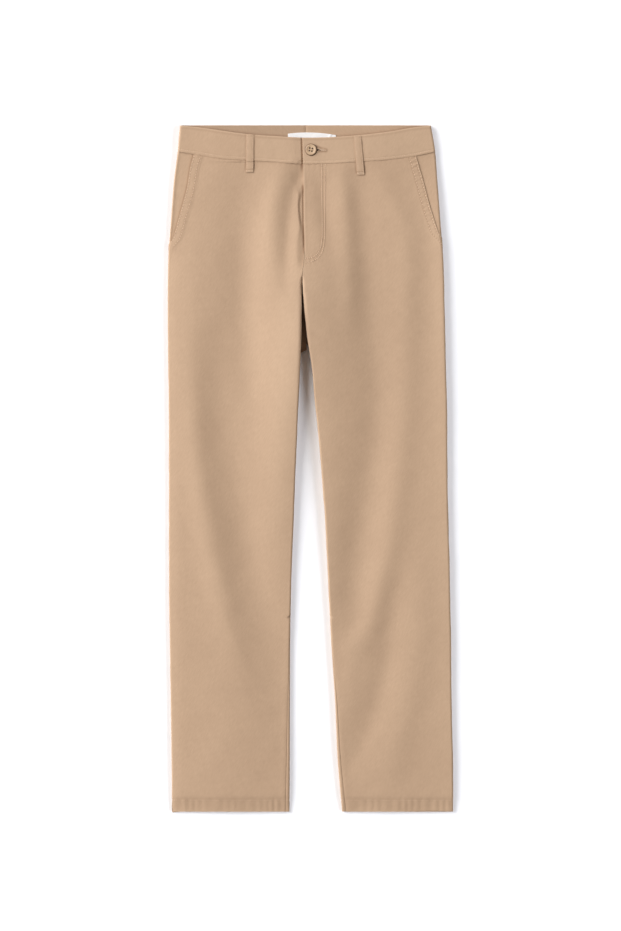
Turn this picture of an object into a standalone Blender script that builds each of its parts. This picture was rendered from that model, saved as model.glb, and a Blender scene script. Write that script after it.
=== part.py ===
"""Chino trousers lying on their back on a flat surface, one solid for each cut and sewn piece.

World axes: +X to the wearer's left, +Y towards the waist, +Z up out of the front. The surface is z = 0 and
the origin is under the middle of the laid garment. The tables and sizes are in millimetres.

Each panel is an open sheet through a grid of points, thickened inwards by Solidify. Across a leg the sheet
follows one closed section: flat on the surface, up a rounded edge, over the top and down the other edge.
"Right" and "left" are the wearer's.
"""

import math
from collections import namedtuple

import bpy
import numpy as np

MM = 0.001
SEAM_GAP = 0.3  # between the edges of two pieces that are sewn together

# ---- cloth ----
CLOTH = 1.2  # one panel's wall, felled seams included
HEM_CLOTH = 2.0  # where the hem is turned up
WAISTBAND_CLOTH = 2.2  # folded double over its stiffening
LOOP_CLOTH = 1.6
LABEL_CLOTH = 0.8

# ---- lengths along Y ----
WAIST_TOP = 531.6  # straight top edge of the back waistband
HEM = -531.2
HEM_STITCH = HEM + 20.5  # the turned-up hem is 20 mm deep
BACK_BAND_SEAM = 491.7
BAND_SEAM_AT_SIDE = BACK_BAND_SEAM
CROTCH_TOP = 300.0  # where the two fronts part
CROTCH_DEEP = 266.0  # from here down the fronts' inner edges stand on the back panels
RIGHT_CROTCH = 183.4  # lower end of the crotch on the right back panel
LEFT_CROTCH = 193.1

# ---- how the section lies ----
SEAM_HEIGHT = 4.5  # side seams and inseams over the surface
EDGE_ROUND = 6.0  # radius from an edge onto the top
UNDER_ROUND = 4.0  # radius from an edge onto the surface
CROTCH_FOOT = CLOTH + 0.45  # the fronts' inner edges over the surface, on the back panels
CROTCH_EASE = 0.35  # more room in the bulky seams there
LOOP_BED = LOOP_CLOTH + 0.4  # the back waistband lies on its belt loops
BAND_PROUD = 0.5  # the waistband's face over the panels' faces

# ---- fly, pockets, waistband ----
FLY_LAP = 4.0  # the right front runs on under the left front
FLY_DROP = 2.1
BAND_LAP = 38.0  # the right waistband's underlap, which carries the button
BAND_DROP = WAISTBAND_CLOTH + 0.45
POCKET_TIP = 330.0  # lower end of the pockets, on the side seam
POCKET_TUCK = 9.0  # pocket facing under the front's slanted edge
POCKET_DROP = 1.9
BUTTON_AT = (0.4, 494.8)
BUTTON_DIAMETER = 18.6
BUTTON_THICK = 3.0
HOLE_RADIUS = 0.9
HOLES_CIRCLE = 2.2  # radius of the circle through the four sewing holes
HOLES_TURN = 0.6
ZIP_TOP = 466.0
ZIP_BOTTOM = 308.0
TAPE_HALF = 13.0
TAPE_THICK = 0.9
CHAIN_SECTION = (2.8, 2.0)  # half its width, and its depth under the tapes' face
SLIDER_SECTION = (5.2, 3.8)
SLIDER_TOP = 452.0
SLIDER_BOTTOM = 440.0
LOOP_WIDTH = 12.0
LOOP_LENGTH = 58.0
LABEL_WIDTH = 74.2
LABEL_DEPTH = 19.0
LABEL_BOW = 1.6
LABEL_AT = (1.9, 519.6)  # the middle and the upper edge

KHAKI = (0.570, 0.392, 0.262)
KHAKI_DEEP = (0.500, 0.335, 0.220)
LABEL_WHITE = (0.85, 0.85, 0.84)
BUTTON_TAN = (0.420, 0.280, 0.180)
ZIP_TAN = (0.380, 0.250, 0.160)
CLOTH_ROUGHNESS = 0.9
BUTTON_ROUGHNESS = 0.45
ZIP_ROUGHNESS = 0.6

# One row for each measured section: the plan position of the four edges, and the height of the upper cloth
# at its outer edge, in the middle of the panel and at its inner edge. Above the crotch the inner edges are
# the fly line.
Section = namedtuple("Section", "y side_right inner_right inner_left side_left outer mid inner")
SECTIONS = (
    Section(-531.2, -215.1, -32.9, 48.4, 220.5, 8.5, 11.0, 9.0),
    Section(-451.0, -215.6, -32.4, 41.6, 220.0, 9.5, 12.0, 10.5),
    Section(-358.0, -217.0, -32.2, 37.4, 217.8, 9.5, 12.5, 11.0),
    Section(-265.0, -218.4, -31.8, 31.4, 217.0, 10.0, 13.0, 11.5),
    Section(-203.0, -219.4, -30.8, 28.3, 215.8, 10.0, 13.5, 12.0),
    Section(-141.0, -219.7, -29.0, 25.2, 214.6, 10.0, 14.0, 12.5),
    Section(-79.0, -219.7, -26.4, 22.1, 212.9, 10.0, 15.0, 13.5),
    Section(-17.0, -219.7, -24.2, 17.4, 211.6, 10.5, 15.5, 14.5),
    Section(45.0, -219.7, -21.4, 12.4, 211.2, 10.5, 16.0, 16.0),
    Section(107.0, -219.9, -18.9, 5.9, 210.6, 11.0, 16.5, 18.0),
    Section(154.0, -220.6, -16.5, 2.0, 209.2, 11.0, 17.0, 20.0),
    Section(200.0, -221.2, -14.6, -5.0, 208.2, 11.0, 17.5, 22.0),
    Section(262.0, -221.4, -13.9, -11.2, 206.8, 11.0, 17.5, 23.0),
    Section(298.0, -221.2, -13.2, -12.8, 206.0, 11.0, 17.0, 22.5),
    Section(324.0, -220.6, -10.4, -10.1, 205.0, 11.0, 16.5, 21.0),
    Section(386.0, -216.4, -10.7, -10.4, 200.6, 11.0, 15.0, 17.0),
    Section(448.0, -211.6, -11.4, -11.1, 196.0, 11.5, 14.8, 15.5),
    Section(492.0, -206.0, -12.3, -12.0, 192.4, 12.0, 15.0, 15.0),
    Section(531.6, -202.3, -13.6, -13.3, 185.8, 12.0, 15.0, 15.0),
)

# Centre back seam, hidden under the fronts.
CentreBack = namedtuple("CentreBack", "y x")
CENTRE_BACK = (CentreBack(180.0, -6.4), CentreBack(262.0, -6.6), CentreBack(531.6, -8.0))

# How far the inseam rolls onto the top of the legs near the hems.
InseamRoll = namedtuple("InseamRoll", "y inset")
INSEAM_ROLL = (
    InseamRoll(-531.2, 6.2),
    InseamRoll(-451.0, 5.0),
    InseamRoll(-358.0, 3.2),
    InseamRoll(-290.0, 1.0),
    InseamRoll(-230.0, 0.0),
    InseamRoll(-150.0, 0.0),
)

# The front waistband dips between the sides: its top edge and the seam under it.
BandEdge = namedtuple("BandEdge", "x top seam")
FRONT_BAND = (
    BandEdge(-206.0, 530.6, 491.9),
    BandEdge(-180.0, 528.6, 488.0),
    BandEdge(-136.0, 522.5, 481.0),
    BandEdge(-100.0, 517.6, 478.8),
    BandEdge(-55.0, 514.6, 475.0),
    BandEdge(-8.0, 513.3, 472.0),
    BandEdge(20.0, 514.0, 472.4),
    BandEdge(72.0, 516.2, 476.0),
    BandEdge(120.0, 521.0, 479.4),
    BandEdge(165.0, 528.6, 486.0),
    BandEdge(192.0, 530.8, 491.4),
)

# The slanted edges of the front pockets in plan, from the waistband to the side seam.
PocketEdge = namedtuple("PocketEdge", "y x")
POCKET_EDGES = {
    "right": (
        PocketEdge(POCKET_TIP, -221.0),
        PocketEdge(342.0, -219.2),
        PocketEdge(355.0, -215.4),
        PocketEdge(391.0, -206.2),
        PocketEdge(435.5, -193.2),
        PocketEdge(487.6, -183.6),
    ),
    "left": (
        PocketEdge(POCKET_TIP, 205.6),
        PocketEdge(342.0, 204.1),
        PocketEdge(353.0, 202.6),
        PocketEdge(405.0, 185.4),
        PocketEdge(450.0, 173.4),
        PocketEdge(486.6, 164.6),
    ),
}

# Folds as the cloth relaxes: soft ridges (rise over 0) and troughs (under 0), each along its own path.
Fold = namedtuple("Fold", "side half_width path")
Crest = namedtuple("Crest", "y x rise")
FOLDS = (
    Fold("right", 27.0, (  # the long trough down the right thigh
        Crest(-390.0, -44.0, 0.0), Crest(-310.0, -58.0, -0.9), Crest(-203.0, -83.0, -1.7),
        Crest(-79.0, -102.0, -2.6), Crest(0.0, -108.0, -3.6), Crest(76.0, -116.0, -4.4),
        Crest(138.0, -120.0, -4.2), Crest(262.0, -113.0, -3.2), Crest(340.0, -108.0, -2.2),
        Crest(417.0, -106.0, -1.2), Crest(470.0, -104.0, 0.0),
    )),
    Fold("right", 17.0, (  # ridge outside it, which drifts inwards towards the knee
        Crest(-330.0, -112.0, 0.0), Crest(-250.0, -134.0, 1.4), Crest(-110.0, -159.0, 1.8),
        Crest(14.0, -181.0, 1.3), Crest(107.0, -186.0, 1.1), Crest(231.0, -187.0, 1.2),
        Crest(320.0, -176.0, 1.8), Crest(400.0, -166.0, 1.1), Crest(465.0, -150.0, 0.0),
    )),
    Fold("right", 14.0, (  # ridge that falls from the waistband beside the fly
        Crest(285.0, -56.0, 0.0), Crest(340.0, -51.0, 1.8), Crest(417.0, -47.0, 2.2),
        Crest(470.0, -52.0, 0.0),
    )),
    Fold("right", 8.0, (  # narrow trough along the fly
        Crest(262.0, -37.0, 0.0), Crest(308.0, -39.0, -1.0), Crest(355.0, -42.0, -1.6),
        Crest(430.0, -38.0, -1.6), Crest(474.0, -22.0, 0.0),
    )),
    Fold("right", 13.0, (  # the fullness on the inner thigh
        Crest(-60.0, -44.0, 0.0), Crest(45.0, -37.0, 1.2), Crest(138.0, -29.0, 2.0),
        Crest(223.0, -25.0, 2.4), Crest(300.0, -26.0, 1.6), Crest(380.0, -24.0, 0.0),
    )),
    Fold("left", 9.0, (  # dip under the fly's stitching
        Crest(285.0, 40.0, 0.0), Crest(324.0, 37.0, -1.0), Crest(378.0, 31.0, -1.8),
        Crest(420.0, 25.0, -1.6), Crest(468.0, 14.0, 0.0),
    )),
    Fold("left", 10.0, (  # narrow ridge beside it
        Crest(270.0, 49.0, 0.0), Crest(324.0, 50.0, 1.1), Crest(386.0, 51.0, 1.9),
        Crest(435.0, 48.0, 1.6), Crest(472.0, 42.0, 0.0),
    )),
    Fold("left", 20.0, (  # the long trough down the left thigh
        Crest(-290.0, 60.0, 0.0), Crest(-234.0, 66.0, -0.9), Crest(-110.0, 78.0, -2.0),
        Crest(14.0, 95.0, -3.0), Crest(107.0, 104.0, -3.2), Crest(200.0, 106.0, -2.6),
        Crest(324.0, 97.0, -2.2), Crest(386.0, 84.0, -2.0), Crest(474.0, 76.0, 0.0),
    )),
    Fold("left", 16.0, (  # ridge outside it
        Crest(-300.0, 86.0, 0.0), Crest(-234.0, 97.0, 1.0), Crest(-141.0, 117.0, 1.4),
        Crest(-48.0, 141.0, 1.2), Crest(107.0, 150.0, 1.0), Crest(246.0, 142.0, 1.3),
        Crest(340.0, 144.0, 1.1), Crest(432.0, 112.0, 0.9), Crest(474.0, 104.0, 0.0),
    )),
    Fold("left", 12.0, (  # trough that crosses the left shin
        Crest(-480.0, 62.0, 0.0), Crest(-430.0, 80.0, -0.9), Crest(-358.0, 104.0, -1.4),
        Crest(-265.0, 118.0, -1.8), Crest(-200.0, 134.0, -0.8), Crest(-140.0, 142.0, 0.0),
    )),
    Fold("left", 15.0, (  # ridge along its outer side
        Crest(-505.0, 106.0, 0.0), Crest(-440.0, 139.0, 1.3), Crest(-327.0, 161.0, 1.4),
        Crest(-240.0, 168.0, 1.0), Crest(-130.0, 164.0, 0.0),
    )),
)

# How finely the sheets are divided.
FIRST_STEP = 0.6  # from an edge to the next column, so that the edge faces its neighbour squarely
LEAST_STEP = 0.8
TURN_PARTS = (0.0, 1 / 3, 2 / 3, 1.0)  # columns round an edge
ROLL_STEPS = (0.0, 0.6, 3.4, 6.4, 9.4, 12.6, 16.0)  # columns from a rolled inseam back under the leg
BAND_TURN_RUNS = (-10.0, -6.8, -4.0, -1.5, 0.0, 2.6, 5.4, 8.2, 11.0)
BAND_END_STEPS = {
    "right": (BAND_LAP + 16.0, BAND_LAP + 12.0, BAND_LAP + 8.5, BAND_LAP + 5.0, BAND_LAP + 1.5, 20.0, 0.0),
    "left": (14.0, 0.0),
}
FRONT_MIDDLE = 13
BACK_MIDDLE = 5
FACING_PARTS = (0.0, 0.06, 0.22, 0.42, 0.68, 1.0)
RowBand = namedtuple("RowBand", "start steps")
LEG_ROWS = (
    RowBand(172.0, 15),
    RowBand(-470.0, 1),
    RowBand(HEM_STITCH + 2.0, 1),
    RowBand(HEM_STITCH - 2.0, 1),
)
FRONT_ROWS = (
    RowBand(BAND_SEAM_AT_SIDE, 5),
    RowBand(378.0, 5),
    RowBand(POCKET_TIP, 1),
    RowBand(312.0, 6),
    RowBand(262.0, 4),
    RowBand(LEFT_CROTCH, 1),
    RowBand(RIGHT_CROTCH, 1),
    RowBand(RIGHT_CROTCH - 5.0, 1),
) + LEG_ROWS
BACK_ROWS = (
    RowBand(BAND_SEAM_AT_SIDE, 2),
    RowBand(446.8, 2),
    RowBand(378.0, 1),
    RowBand(POCKET_TIP, 1),
    RowBand(262.0, 2),
    RowBand(LEFT_CROTCH, 1),
    RowBand(RIGHT_CROTCH, 1),
    RowBand(RIGHT_CROTCH - 5.0, 1),
) + LEG_ROWS


# ---- curves and blends ----


def smooth_step(value):
    """0 up to 0, 1 from 1, and an even rise between."""
    value = np.clip(value, 0.0, 1.0)
    return value * value * (3.0 - 2.0 * value)


def through(table, key, value, at):
    """Smooth curve through a table's named columns, read at `at`; the keys rise."""
    keys = np.array([getattr(row, key) for row in table], float)
    values = np.array([getattr(row, value) for row in table], float)
    slopes = np.gradient(values, keys)
    at = np.clip(at, keys[0], keys[-1])
    first = np.clip(np.searchsorted(keys, at) - 1, 0, len(keys) - 2)
    step = keys[first + 1] - keys[first]
    t = (at - keys[first]) / step
    from_first = (2 * t**3 - 3 * t**2 + 1) * values[first] + (t**3 - 2 * t**2 + t) * step * slopes[first]
    from_next = (3 * t**2 - 2 * t**3) * values[first + 1] + (t**3 - t**2) * step * slopes[first + 1]
    return from_first + from_next


def row_lines(bands, last):
    """Y of each row of a panel, from its bands."""
    starts = [band.start for band in bands] + [last]
    lines = [
        np.linspace(top, bottom, band.steps, endpoint=False)
        for band, top, bottom in zip(bands, starts, starts[1:])
    ]
    return np.append(np.concatenate(lines), last)


# ---- where the cloth lies ----


def inwards(side):
    """The sign of X from the side seam towards the middle."""
    return 1.0 if side == "right" else -1.0


def outer_edge(side, y):
    return through(SECTIONS, "y", "side_" + side, y)


def crotch_line(side):
    """Y of the crotch's lower end, where the leg's own tube starts."""
    return RIGHT_CROTCH if side == "right" else LEFT_CROTCH


def inner_edge(side, y):
    """The leg's inner edge or, above the crotch, the fly line; the right front laps under the left."""
    lap = FLY_LAP * smooth_step((y - CROTCH_TOP - 12.0) / 22.0) if side == "right" else 0.0
    return through(SECTIONS, "y", "inner_" + side, y) + lap


def folds(side, x, y):
    """The sum of the side's ridges and troughs."""
    total = np.zeros(np.broadcast(x, y).shape)
    for fold in FOLDS:
        if fold.side == side:
            away = (x - through(fold.path, "y", "x", y)) / fold.half_width
            inside = (y > fold.path[0].y) & (y < fold.path[-1].y)
            total += inside * through(fold.path, "y", "rise", y) * np.exp(-0.5 * away**2)
    return total


def top_height(side, x, y):
    """Height of the upper cloth's face, away from the rounded edges."""
    outer, inner = outer_edge(side, y), through(SECTIONS, "y", "inner_" + side, y)
    across = (x - outer) / (inner - outer)
    at_outer, at_mid, at_inner = (through(SECTIONS, "y", column, y) for column in ("outer", "mid", "inner"))
    first_half = at_outer + (at_mid - at_outer) * smooth_step(2 * across)
    height = first_half + (at_inner - at_mid) * smooth_step(2 * across - 1)
    return height + folds(side, x, y)


def front_height(side, x, y):
    """As top_height, with the right front's dip under the fly."""
    height = top_height(side, x, y)
    if side == "left":
        return height
    fly = through(SECTIONS, "y", "inner_left", y)
    above_crotch = smooth_step((y - CROTCH_TOP) / 10.0)
    return height - FLY_DROP * above_crotch * smooth_step((x - fly + 9.0) / 8.0)


def bed_height(side, x, y):
    """Height of the lower cloth's underside: on the surface, and on the belt loops at the back waist."""
    from_side = np.abs(x - outer_edge(side, y))
    return LOOP_BED * smooth_step((y - 452.0) / 20.0) * smooth_step((from_side - 14.0) / 40.0)


def round_length(rise, radius):
    """Length of cloth up a wall and round onto the top."""
    return rise - radius + radius * math.pi / 2


def round_edge(run, rise, radius):
    """Inset and climb, `run` along cloth that goes up a wall, turns and lies level."""
    radius = np.maximum(radius, 1e-6)
    turn = np.clip((run - rise + radius) / radius, 0.0, math.pi / 2)
    level = np.maximum(run - round_length(rise, radius), 0.0)
    return radius * (1 - np.cos(turn)) + level, np.minimum(run, rise - radius) + radius * np.sin(turn)


def run_at_inset(inset, rise, radius):
    """The run along the cloth to a place `inset` from its edge in plan."""
    turn = np.arccos(np.clip(1 - inset / radius, 0.0, 1.0))
    return rise - radius + radius * turn + np.maximum(inset - radius, 0.0)


def outer_round(side, y):
    """(rise, radius) of the top's outer edge over the side seam."""
    shoulder = outer_edge(side, y) + inwards(side) * EDGE_ROUND
    rise = top_height(side, shoulder, y) - SEAM_HEIGHT
    return rise, np.minimum(rise, EDGE_ROUND)


def inner_round(side, y):
    """(foot, rise, radius) of the top's inner edge: no rise at the fly, down to the back at the crotch."""
    shoulder = inner_edge(side, y) - inwards(side) * EDGE_ROUND
    top = front_height(side, shoulder, y)
    above = y - crotch_line(side)
    lowest = SEAM_HEIGHT + (CROTCH_FOOT - SEAM_HEIGHT) * smooth_step((above + 2.0) / 2.0)
    lowest = lowest + CROTCH_EASE * smooth_step(1 - np.abs(above) / 40.0)
    drop = smooth_step((CROTCH_TOP - y) / (CROTCH_TOP - CROTCH_DEEP))
    rise = drop * (top - lowest)
    return top - rise, rise, np.minimum(rise, EDGE_ROUND)


def inseam_inset(y):
    return through(INSEAM_ROLL, "y", "inset", y)


def pocket_inset(side, y):
    """How far the pocket's slanted edge is from the side in plan; 0 below the pocket."""
    edge = through(POCKET_EDGES[side], "y", "x", y)
    inside = y > POCKET_TIP
    return np.where(inside, np.maximum((edge - outer_edge(side, y)) * inwards(side), 0.0), 0.0)


def band_seam_shift(x, row):
    """How far a front's row is moved along Y to follow the dipping waistband seam."""
    fade = np.clip(1 - (BAND_SEAM_AT_SIDE - row) / 110.0, 0.0, 1.0)
    return fade * (through(FRONT_BAND, "x", "seam", x) - BAND_SEAM_AT_SIDE)


# ---- sheets ----


def edge_runs(start, rise, radius):
    """Runs of the columns round an edge: at its foot, up its wall and round its turn."""
    marks = [start + FIRST_STEP] + [rise - radius + part * radius * math.pi / 2 for part in TURN_PARTS]
    runs = [start]
    for mark in marks:
        runs.append(np.maximum(mark, runs[-1] + LEAST_STEP * (len(runs) > 1)))
    return runs


def even_runs(first, last, steps):
    """Runs of the columns between those of the two edges."""
    return [first + (last - first) * number / steps for number in range(1, steps)]


def inseam_roll(side, y):
    """The run from the leg's inner edge, over the top, to the rolled inseam."""
    _, rise, radius = inner_round(side, y)
    rolled = run_at_inset(inseam_inset(y), rise, np.maximum(radius, 1e-6))
    return np.where(inseam_inset(y) > 0.0, np.maximum(rolled, 0.0), 0.0)


def front_width(side, y):
    """Length of cloth across a front's whole section."""
    rise_out, radius_out = outer_round(side, y)
    _, rise_in, radius_in = inner_round(side, y)
    flat = np.abs(inner_edge(side, y) - outer_edge(side, y)) - radius_out - radius_in
    return flat + round_length(rise_out, radius_out) + round_length(rise_in, radius_in)


def front_runs(side, y):
    """Where each column of a front runs at `y`, as lengths of cloth from the side seam."""
    rise_out, radius_out = outer_round(side, y)
    _, rise_in, radius_in = inner_round(side, y)
    inset = pocket_inset(side, y)
    slant = np.maximum(run_at_inset(inset, rise_out, radius_out), SEAM_GAP / 2)
    start = np.where(inset > 0.0, slant, SEAM_GAP / 2)
    outer = edge_runs(start, rise_out, radius_out)
    inner = edge_runs(SEAM_GAP / 2 + inseam_roll(side, y), rise_in, radius_in)
    inner = [front_width(side, y) - run for run in inner[::-1]]
    return outer + even_runs(outer[-1], inner[0], FRONT_MIDDLE) + inner


def front_point(side, y, run):
    """X and Z of a front's face, `run` along the cloth from the side seam."""
    rise_out, radius_out = outer_round(side, y)
    foot, rise_in, radius_in = inner_round(side, y)
    left_over = front_width(side, y) - run
    inset_out, climb_out = round_edge(run, rise_out, radius_out)
    inset_in, climb_in = round_edge(left_over, rise_in, radius_in)
    from_outer = outer_edge(side, y) + inwards(side) * inset_out
    x = np.where(run < left_over, from_outer, inner_edge(side, y) - inwards(side) * inset_in)
    z = front_height(side, x, y)
    z = np.where(run < round_length(rise_out, radius_out), SEAM_HEIGHT + climb_out, z)
    return x, np.where(left_over < round_length(rise_in, radius_in), foot + climb_in, z)


def front_grid(side):
    """Points of a front panel, rows from the waistband to the hem, columns from the side to the middle."""
    rows = row_lines(FRONT_ROWS, HEM)
    grid = []
    for column in range(len(front_runs(side, rows))):
        y = rows
        for _ in range(3):
            x, z = front_point(side, y, front_runs(side, y)[column])
            y = rows + band_seam_shift(x, rows)
        grid.append(np.stack([x, y - SEAM_GAP / 2 * (rows == rows[0]), z], axis=1))
    return np.stack(grid, axis=1)


def back_inner(side, y):
    """The back's inner edge in plan: the centre back seam or, down the leg, the leg's inner edge."""
    centre = through(CENTRE_BACK, "y", "x", y) - inwards(side) * SEAM_GAP / 2
    return np.where(y < crotch_line(side), inner_edge(side, y), centre)


def back_width(side, y):
    """Length of cloth across the underside, from the side seam's height to the inner edge's."""
    curls = 1 + (y < crotch_line(side))
    spared = round_length(SEAM_HEIGHT, UNDER_ROUND) - UNDER_ROUND
    return np.abs(back_inner(side, y) - outer_edge(side, y)) + curls * spared


def back_runs(side, y):
    outer = edge_runs(SEAM_GAP / 2 + 0.0 * y, SEAM_HEIGHT, UNDER_ROUND)
    in_leg = y < crotch_line(side)
    finish = back_width(side, y) + in_leg * (inseam_roll(side, y) - SEAM_GAP / 2)
    inner = [finish - step for step in ROLL_STEPS[::-1]]
    return outer + even_runs(outer[-1], inner[0], BACK_MIDDLE) + inner


def back_point(side, y, run):
    """X and Z of a back's face: it lies on the surface and curls up at the side seam and the inseam."""
    in_leg = y < crotch_line(side)
    left_over = back_width(side, y) - run
    inset_out, climb_out = round_edge(run, SEAM_HEIGHT, UNDER_ROUND)
    inset_in, climb_in = round_edge(np.maximum(left_over, 0.0), SEAM_HEIGHT, UNDER_ROUND)
    _, rise, radius = inner_round(side, y)
    inset_top, climb_top = round_edge(np.maximum(-left_over, 0.0), rise, radius)
    inset_in = np.where(left_over < 0.0, inset_top, inset_in)
    climb_in = np.where(left_over < 0.0, -climb_top, climb_in)
    from_inner = back_inner(side, y) - inwards(side) * np.where(in_leg, inset_in, left_over)
    x = np.where(run < left_over, outer_edge(side, y) + inwards(side) * inset_out, from_inner)
    curl = round_length(SEAM_HEIGHT, UNDER_ROUND)
    z = np.where(run < curl, SEAM_HEIGHT - climb_out, bed_height(side, x, y))
    return x, np.where(in_leg & (left_over < curl), SEAM_HEIGHT - climb_in, z)


def back_grid(side):
    """Points of a back panel, rows from the waistband to the hem, columns from the side to the middle."""
    rows = row_lines(BACK_ROWS, HEM)
    grid = []
    for run in back_runs(side, rows):
        x, z = back_point(side, rows, run)
        grid.append(np.stack([x, rows - SEAM_GAP / 2 * (rows == rows[0]), z], axis=1))
    return np.stack(grid, axis=1)


def band_height(side, x, y):
    """Height of the front waistband's face; the right half dips under the left one at the fly."""
    height = top_height(side, x, y) + BAND_PROUD
    if side == "left":
        return height
    fly = through(SECTIONS, "y", "inner_left", y)
    return height - BAND_DROP * smooth_step((x - fly + 15.0) / 13.0)


def band_runs(side, y):
    """Where each column of a waistband half runs: from under 0 at the centre back to its front end."""
    centre = through(CENTRE_BACK, "y", "x", y) - inwards(side) * SEAM_GAP / 2
    end = through(SECTIONS, "y", "inner_left", y) + (BAND_LAP if side == "right" else 0.0)
    rise, radius = outer_round(side, y)
    outer = outer_edge(side, y)
    under = np.abs(centre - outer) - UNDER_ROUND + round_length(SEAM_HEIGHT, UNDER_ROUND)
    over = np.abs(end - outer) - radius + round_length(rise, radius)
    turn = [run + 0.0 * y for run in BAND_TURN_RUNS]
    ends = [over - step for step in BAND_END_STEPS[side]]
    back = [-under] + even_runs(-under, turn[0], 5)
    return back + turn + even_runs(turn[-1], ends[0], 10) + ends


def band_point(side, y, run):
    """X and Z of a waistband half's face, `run` along it from the side."""
    rise, radius = outer_round(side, y)
    inset_under, fall = round_edge(np.maximum(-run, 0.0), SEAM_HEIGHT, UNDER_ROUND)
    inset_over, climb = round_edge(np.maximum(run, 0.0), rise, radius)
    x = outer_edge(side, y) + inwards(side) * np.where(run < 0.0, inset_under, inset_over)
    turned = round_length(rise, radius)
    round_side = SEAM_HEIGHT + climb + BAND_PROUD * smooth_step(run / turned)
    over = np.where(run > turned, band_height(side, x, y), round_side)
    on_bed = run < -round_length(SEAM_HEIGHT, UNDER_ROUND)
    under = np.where(on_bed, bed_height(side, x, y), SEAM_HEIGHT - fall)
    return x, np.where(run < 0.0, under, over)


def band_grid(side):
    """Points of a waistband half: rows from its seam to its top edge, columns from back to front."""
    up = np.linspace(0.0, 1.0, 5)
    middle = np.full(len(up), (WAIST_TOP + BACK_BAND_SEAM) / 2)
    grid = []
    for column in range(len(band_runs(side, middle))):
        y = middle
        for _ in range(4):
            run = band_runs(side, y)[column]
            x, z = band_point(side, y, run)
            in_front = smooth_step((run + 2.0) / 10.0)
            seam = BACK_BAND_SEAM + in_front * (through(FRONT_BAND, "x", "seam", x) - BACK_BAND_SEAM)
            top = WAIST_TOP + in_front * (through(FRONT_BAND, "x", "top", x) - WAIST_TOP)
            y = seam + SEAM_GAP / 2 + up * (top - seam - SEAM_GAP / 2)
        grid.append(np.stack([x, y, z], axis=1))
    return np.stack(grid, axis=1)


def facing_point(side, y, run, slant):
    """X and Z of the pocket facing, sunk under the front's face towards the slanted edge."""
    rise, radius = outer_round(side, y)
    inset, climb = round_edge(run, rise, radius)
    sunk = POCKET_DROP * smooth_step(run / np.minimum(0.85 * slant + 0.1, 12.0))
    turn = np.clip((run - rise + radius) / radius, 0.0, math.pi / 2)
    x = outer_edge(side, y) + inwards(side) * (inset + sunk * np.cos(turn))
    level = run > round_length(rise, radius)
    return x, np.where(level, top_height(side, x, y), SEAM_HEIGHT + climb) - sunk * np.sin(turn)


def facing_grid(side):
    """Points of the pocket facing between the side seam and the front's slanted edge, tucked under it."""
    rows = row_lines(FRONT_ROWS, HEM)
    rows = rows[rows > POCKET_TIP + 2.0]
    grid = []
    for part in FACING_PARTS:
        y = rows
        for _ in range(3):
            slant = run_at_inset(pocket_inset(side, y), *outer_round(side, y))
            start = SEAM_GAP + 2.6 * smooth_step((POCKET_TIP + 30.0 - rows) / 20.0)
            x, z = facing_point(side, y, start + part * (slant + POCKET_TUCK - start), slant)
            y = rows + band_seam_shift(x, rows)
        grid.append(np.stack([x, y - SEAM_GAP / 2 * (rows == rows[0]), z], axis=1))
    return np.stack(grid, axis=1)


# ---- objects ----


def material(name, colour, roughness):
    made = bpy.data.materials.new(name)
    made.use_nodes = True
    surface = made.node_tree.nodes["Principled BSDF"]
    surface.inputs["Base Color"].default_value = (*colour, 1.0)
    surface.inputs["Roughness"].default_value = roughness
    surface.inputs["Metallic"].default_value = 0.0
    return made


def new_object(name, points, faces, colour, roughness, collection):
    mesh = bpy.data.meshes.new(name)
    mesh.from_pydata([tuple(point) for point in points], [], faces)
    mesh.shade_smooth()
    made = bpy.data.objects.new(name, mesh)
    made.data.materials.append(material(name, colour, roughness))
    collection.objects.link(made)
    return made


def grid_faces(rows, cols, flipped):
    """Quads between neighbouring rows and columns."""
    faces = []
    for i in range(rows - 1):
        for j in range(cols - 1):
            corner = i * cols + j
            quad = (corner, corner + cols, corner + cols + 1, corner + 1)
            faces.append(quad[::-1] if flipped else quad)
    return faces


def cloth_sheet(name, grid, thickness, flipped, colour, collection, outwards=False):
    """A grid of points in millimetres as one sheet of cloth, thickened away from its face."""
    rows, cols, _ = grid.shape
    faces = grid_faces(rows, cols, flipped)
    made = new_object(name, grid.reshape(-1, 3) * MM, faces, colour, CLOTH_ROUGHNESS, collection)
    solidify = made.modifiers.new("cloth", "SOLIDIFY")
    solidify.thickness = thickness * MM
    solidify.offset = 1.0 if outwards else -1.0
    solidify.use_even_offset = True
    return made


def add_hem(panel, grid):
    """The turned-up hem is thicker than the rest of the panel."""
    hem = panel.vertex_groups.new(name="turned_hem")
    in_hem = np.flatnonzero(grid[:, :, 1].reshape(-1) < HEM_STITCH)
    hem.add([int(i) for i in in_hem], 1.0, "REPLACE")
    solidify = panel.modifiers["cloth"]
    solidify.thickness = HEM_CLOTH * MM
    solidify.vertex_group = "turned_hem"
    solidify.thickness_vertex_group = CLOTH / HEM_CLOTH


def add_panels(collection):
    for side in ("right", "left"):
        mirrored = side == "left"
        front = front_grid(side)
        add_hem(cloth_sheet("front_" + side, front, CLOTH, mirrored, KHAKI, collection), front)
        back = back_grid(side)
        add_hem(cloth_sheet("back_" + side, back, CLOTH, not mirrored, KHAKI, collection), back)
        band = band_grid(side)
        cloth_sheet("waistband_" + side, band, WAISTBAND_CLOTH, not mirrored, KHAKI, collection)
        facing = facing_grid(side)
        cloth_sheet("pocket_facing_" + side, facing, CLOTH, mirrored, KHAKI_DEEP, collection)


def band_face(x, y):
    """Height of the closed front waistband's face, and of the fronts just under it."""
    fly = through(SECTIONS, "y", "inner_left", y)
    right, left = top_height("right", x, y), top_height("left", x, y)
    return np.where(x < fly, right, left) + BAND_PROUD


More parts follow.
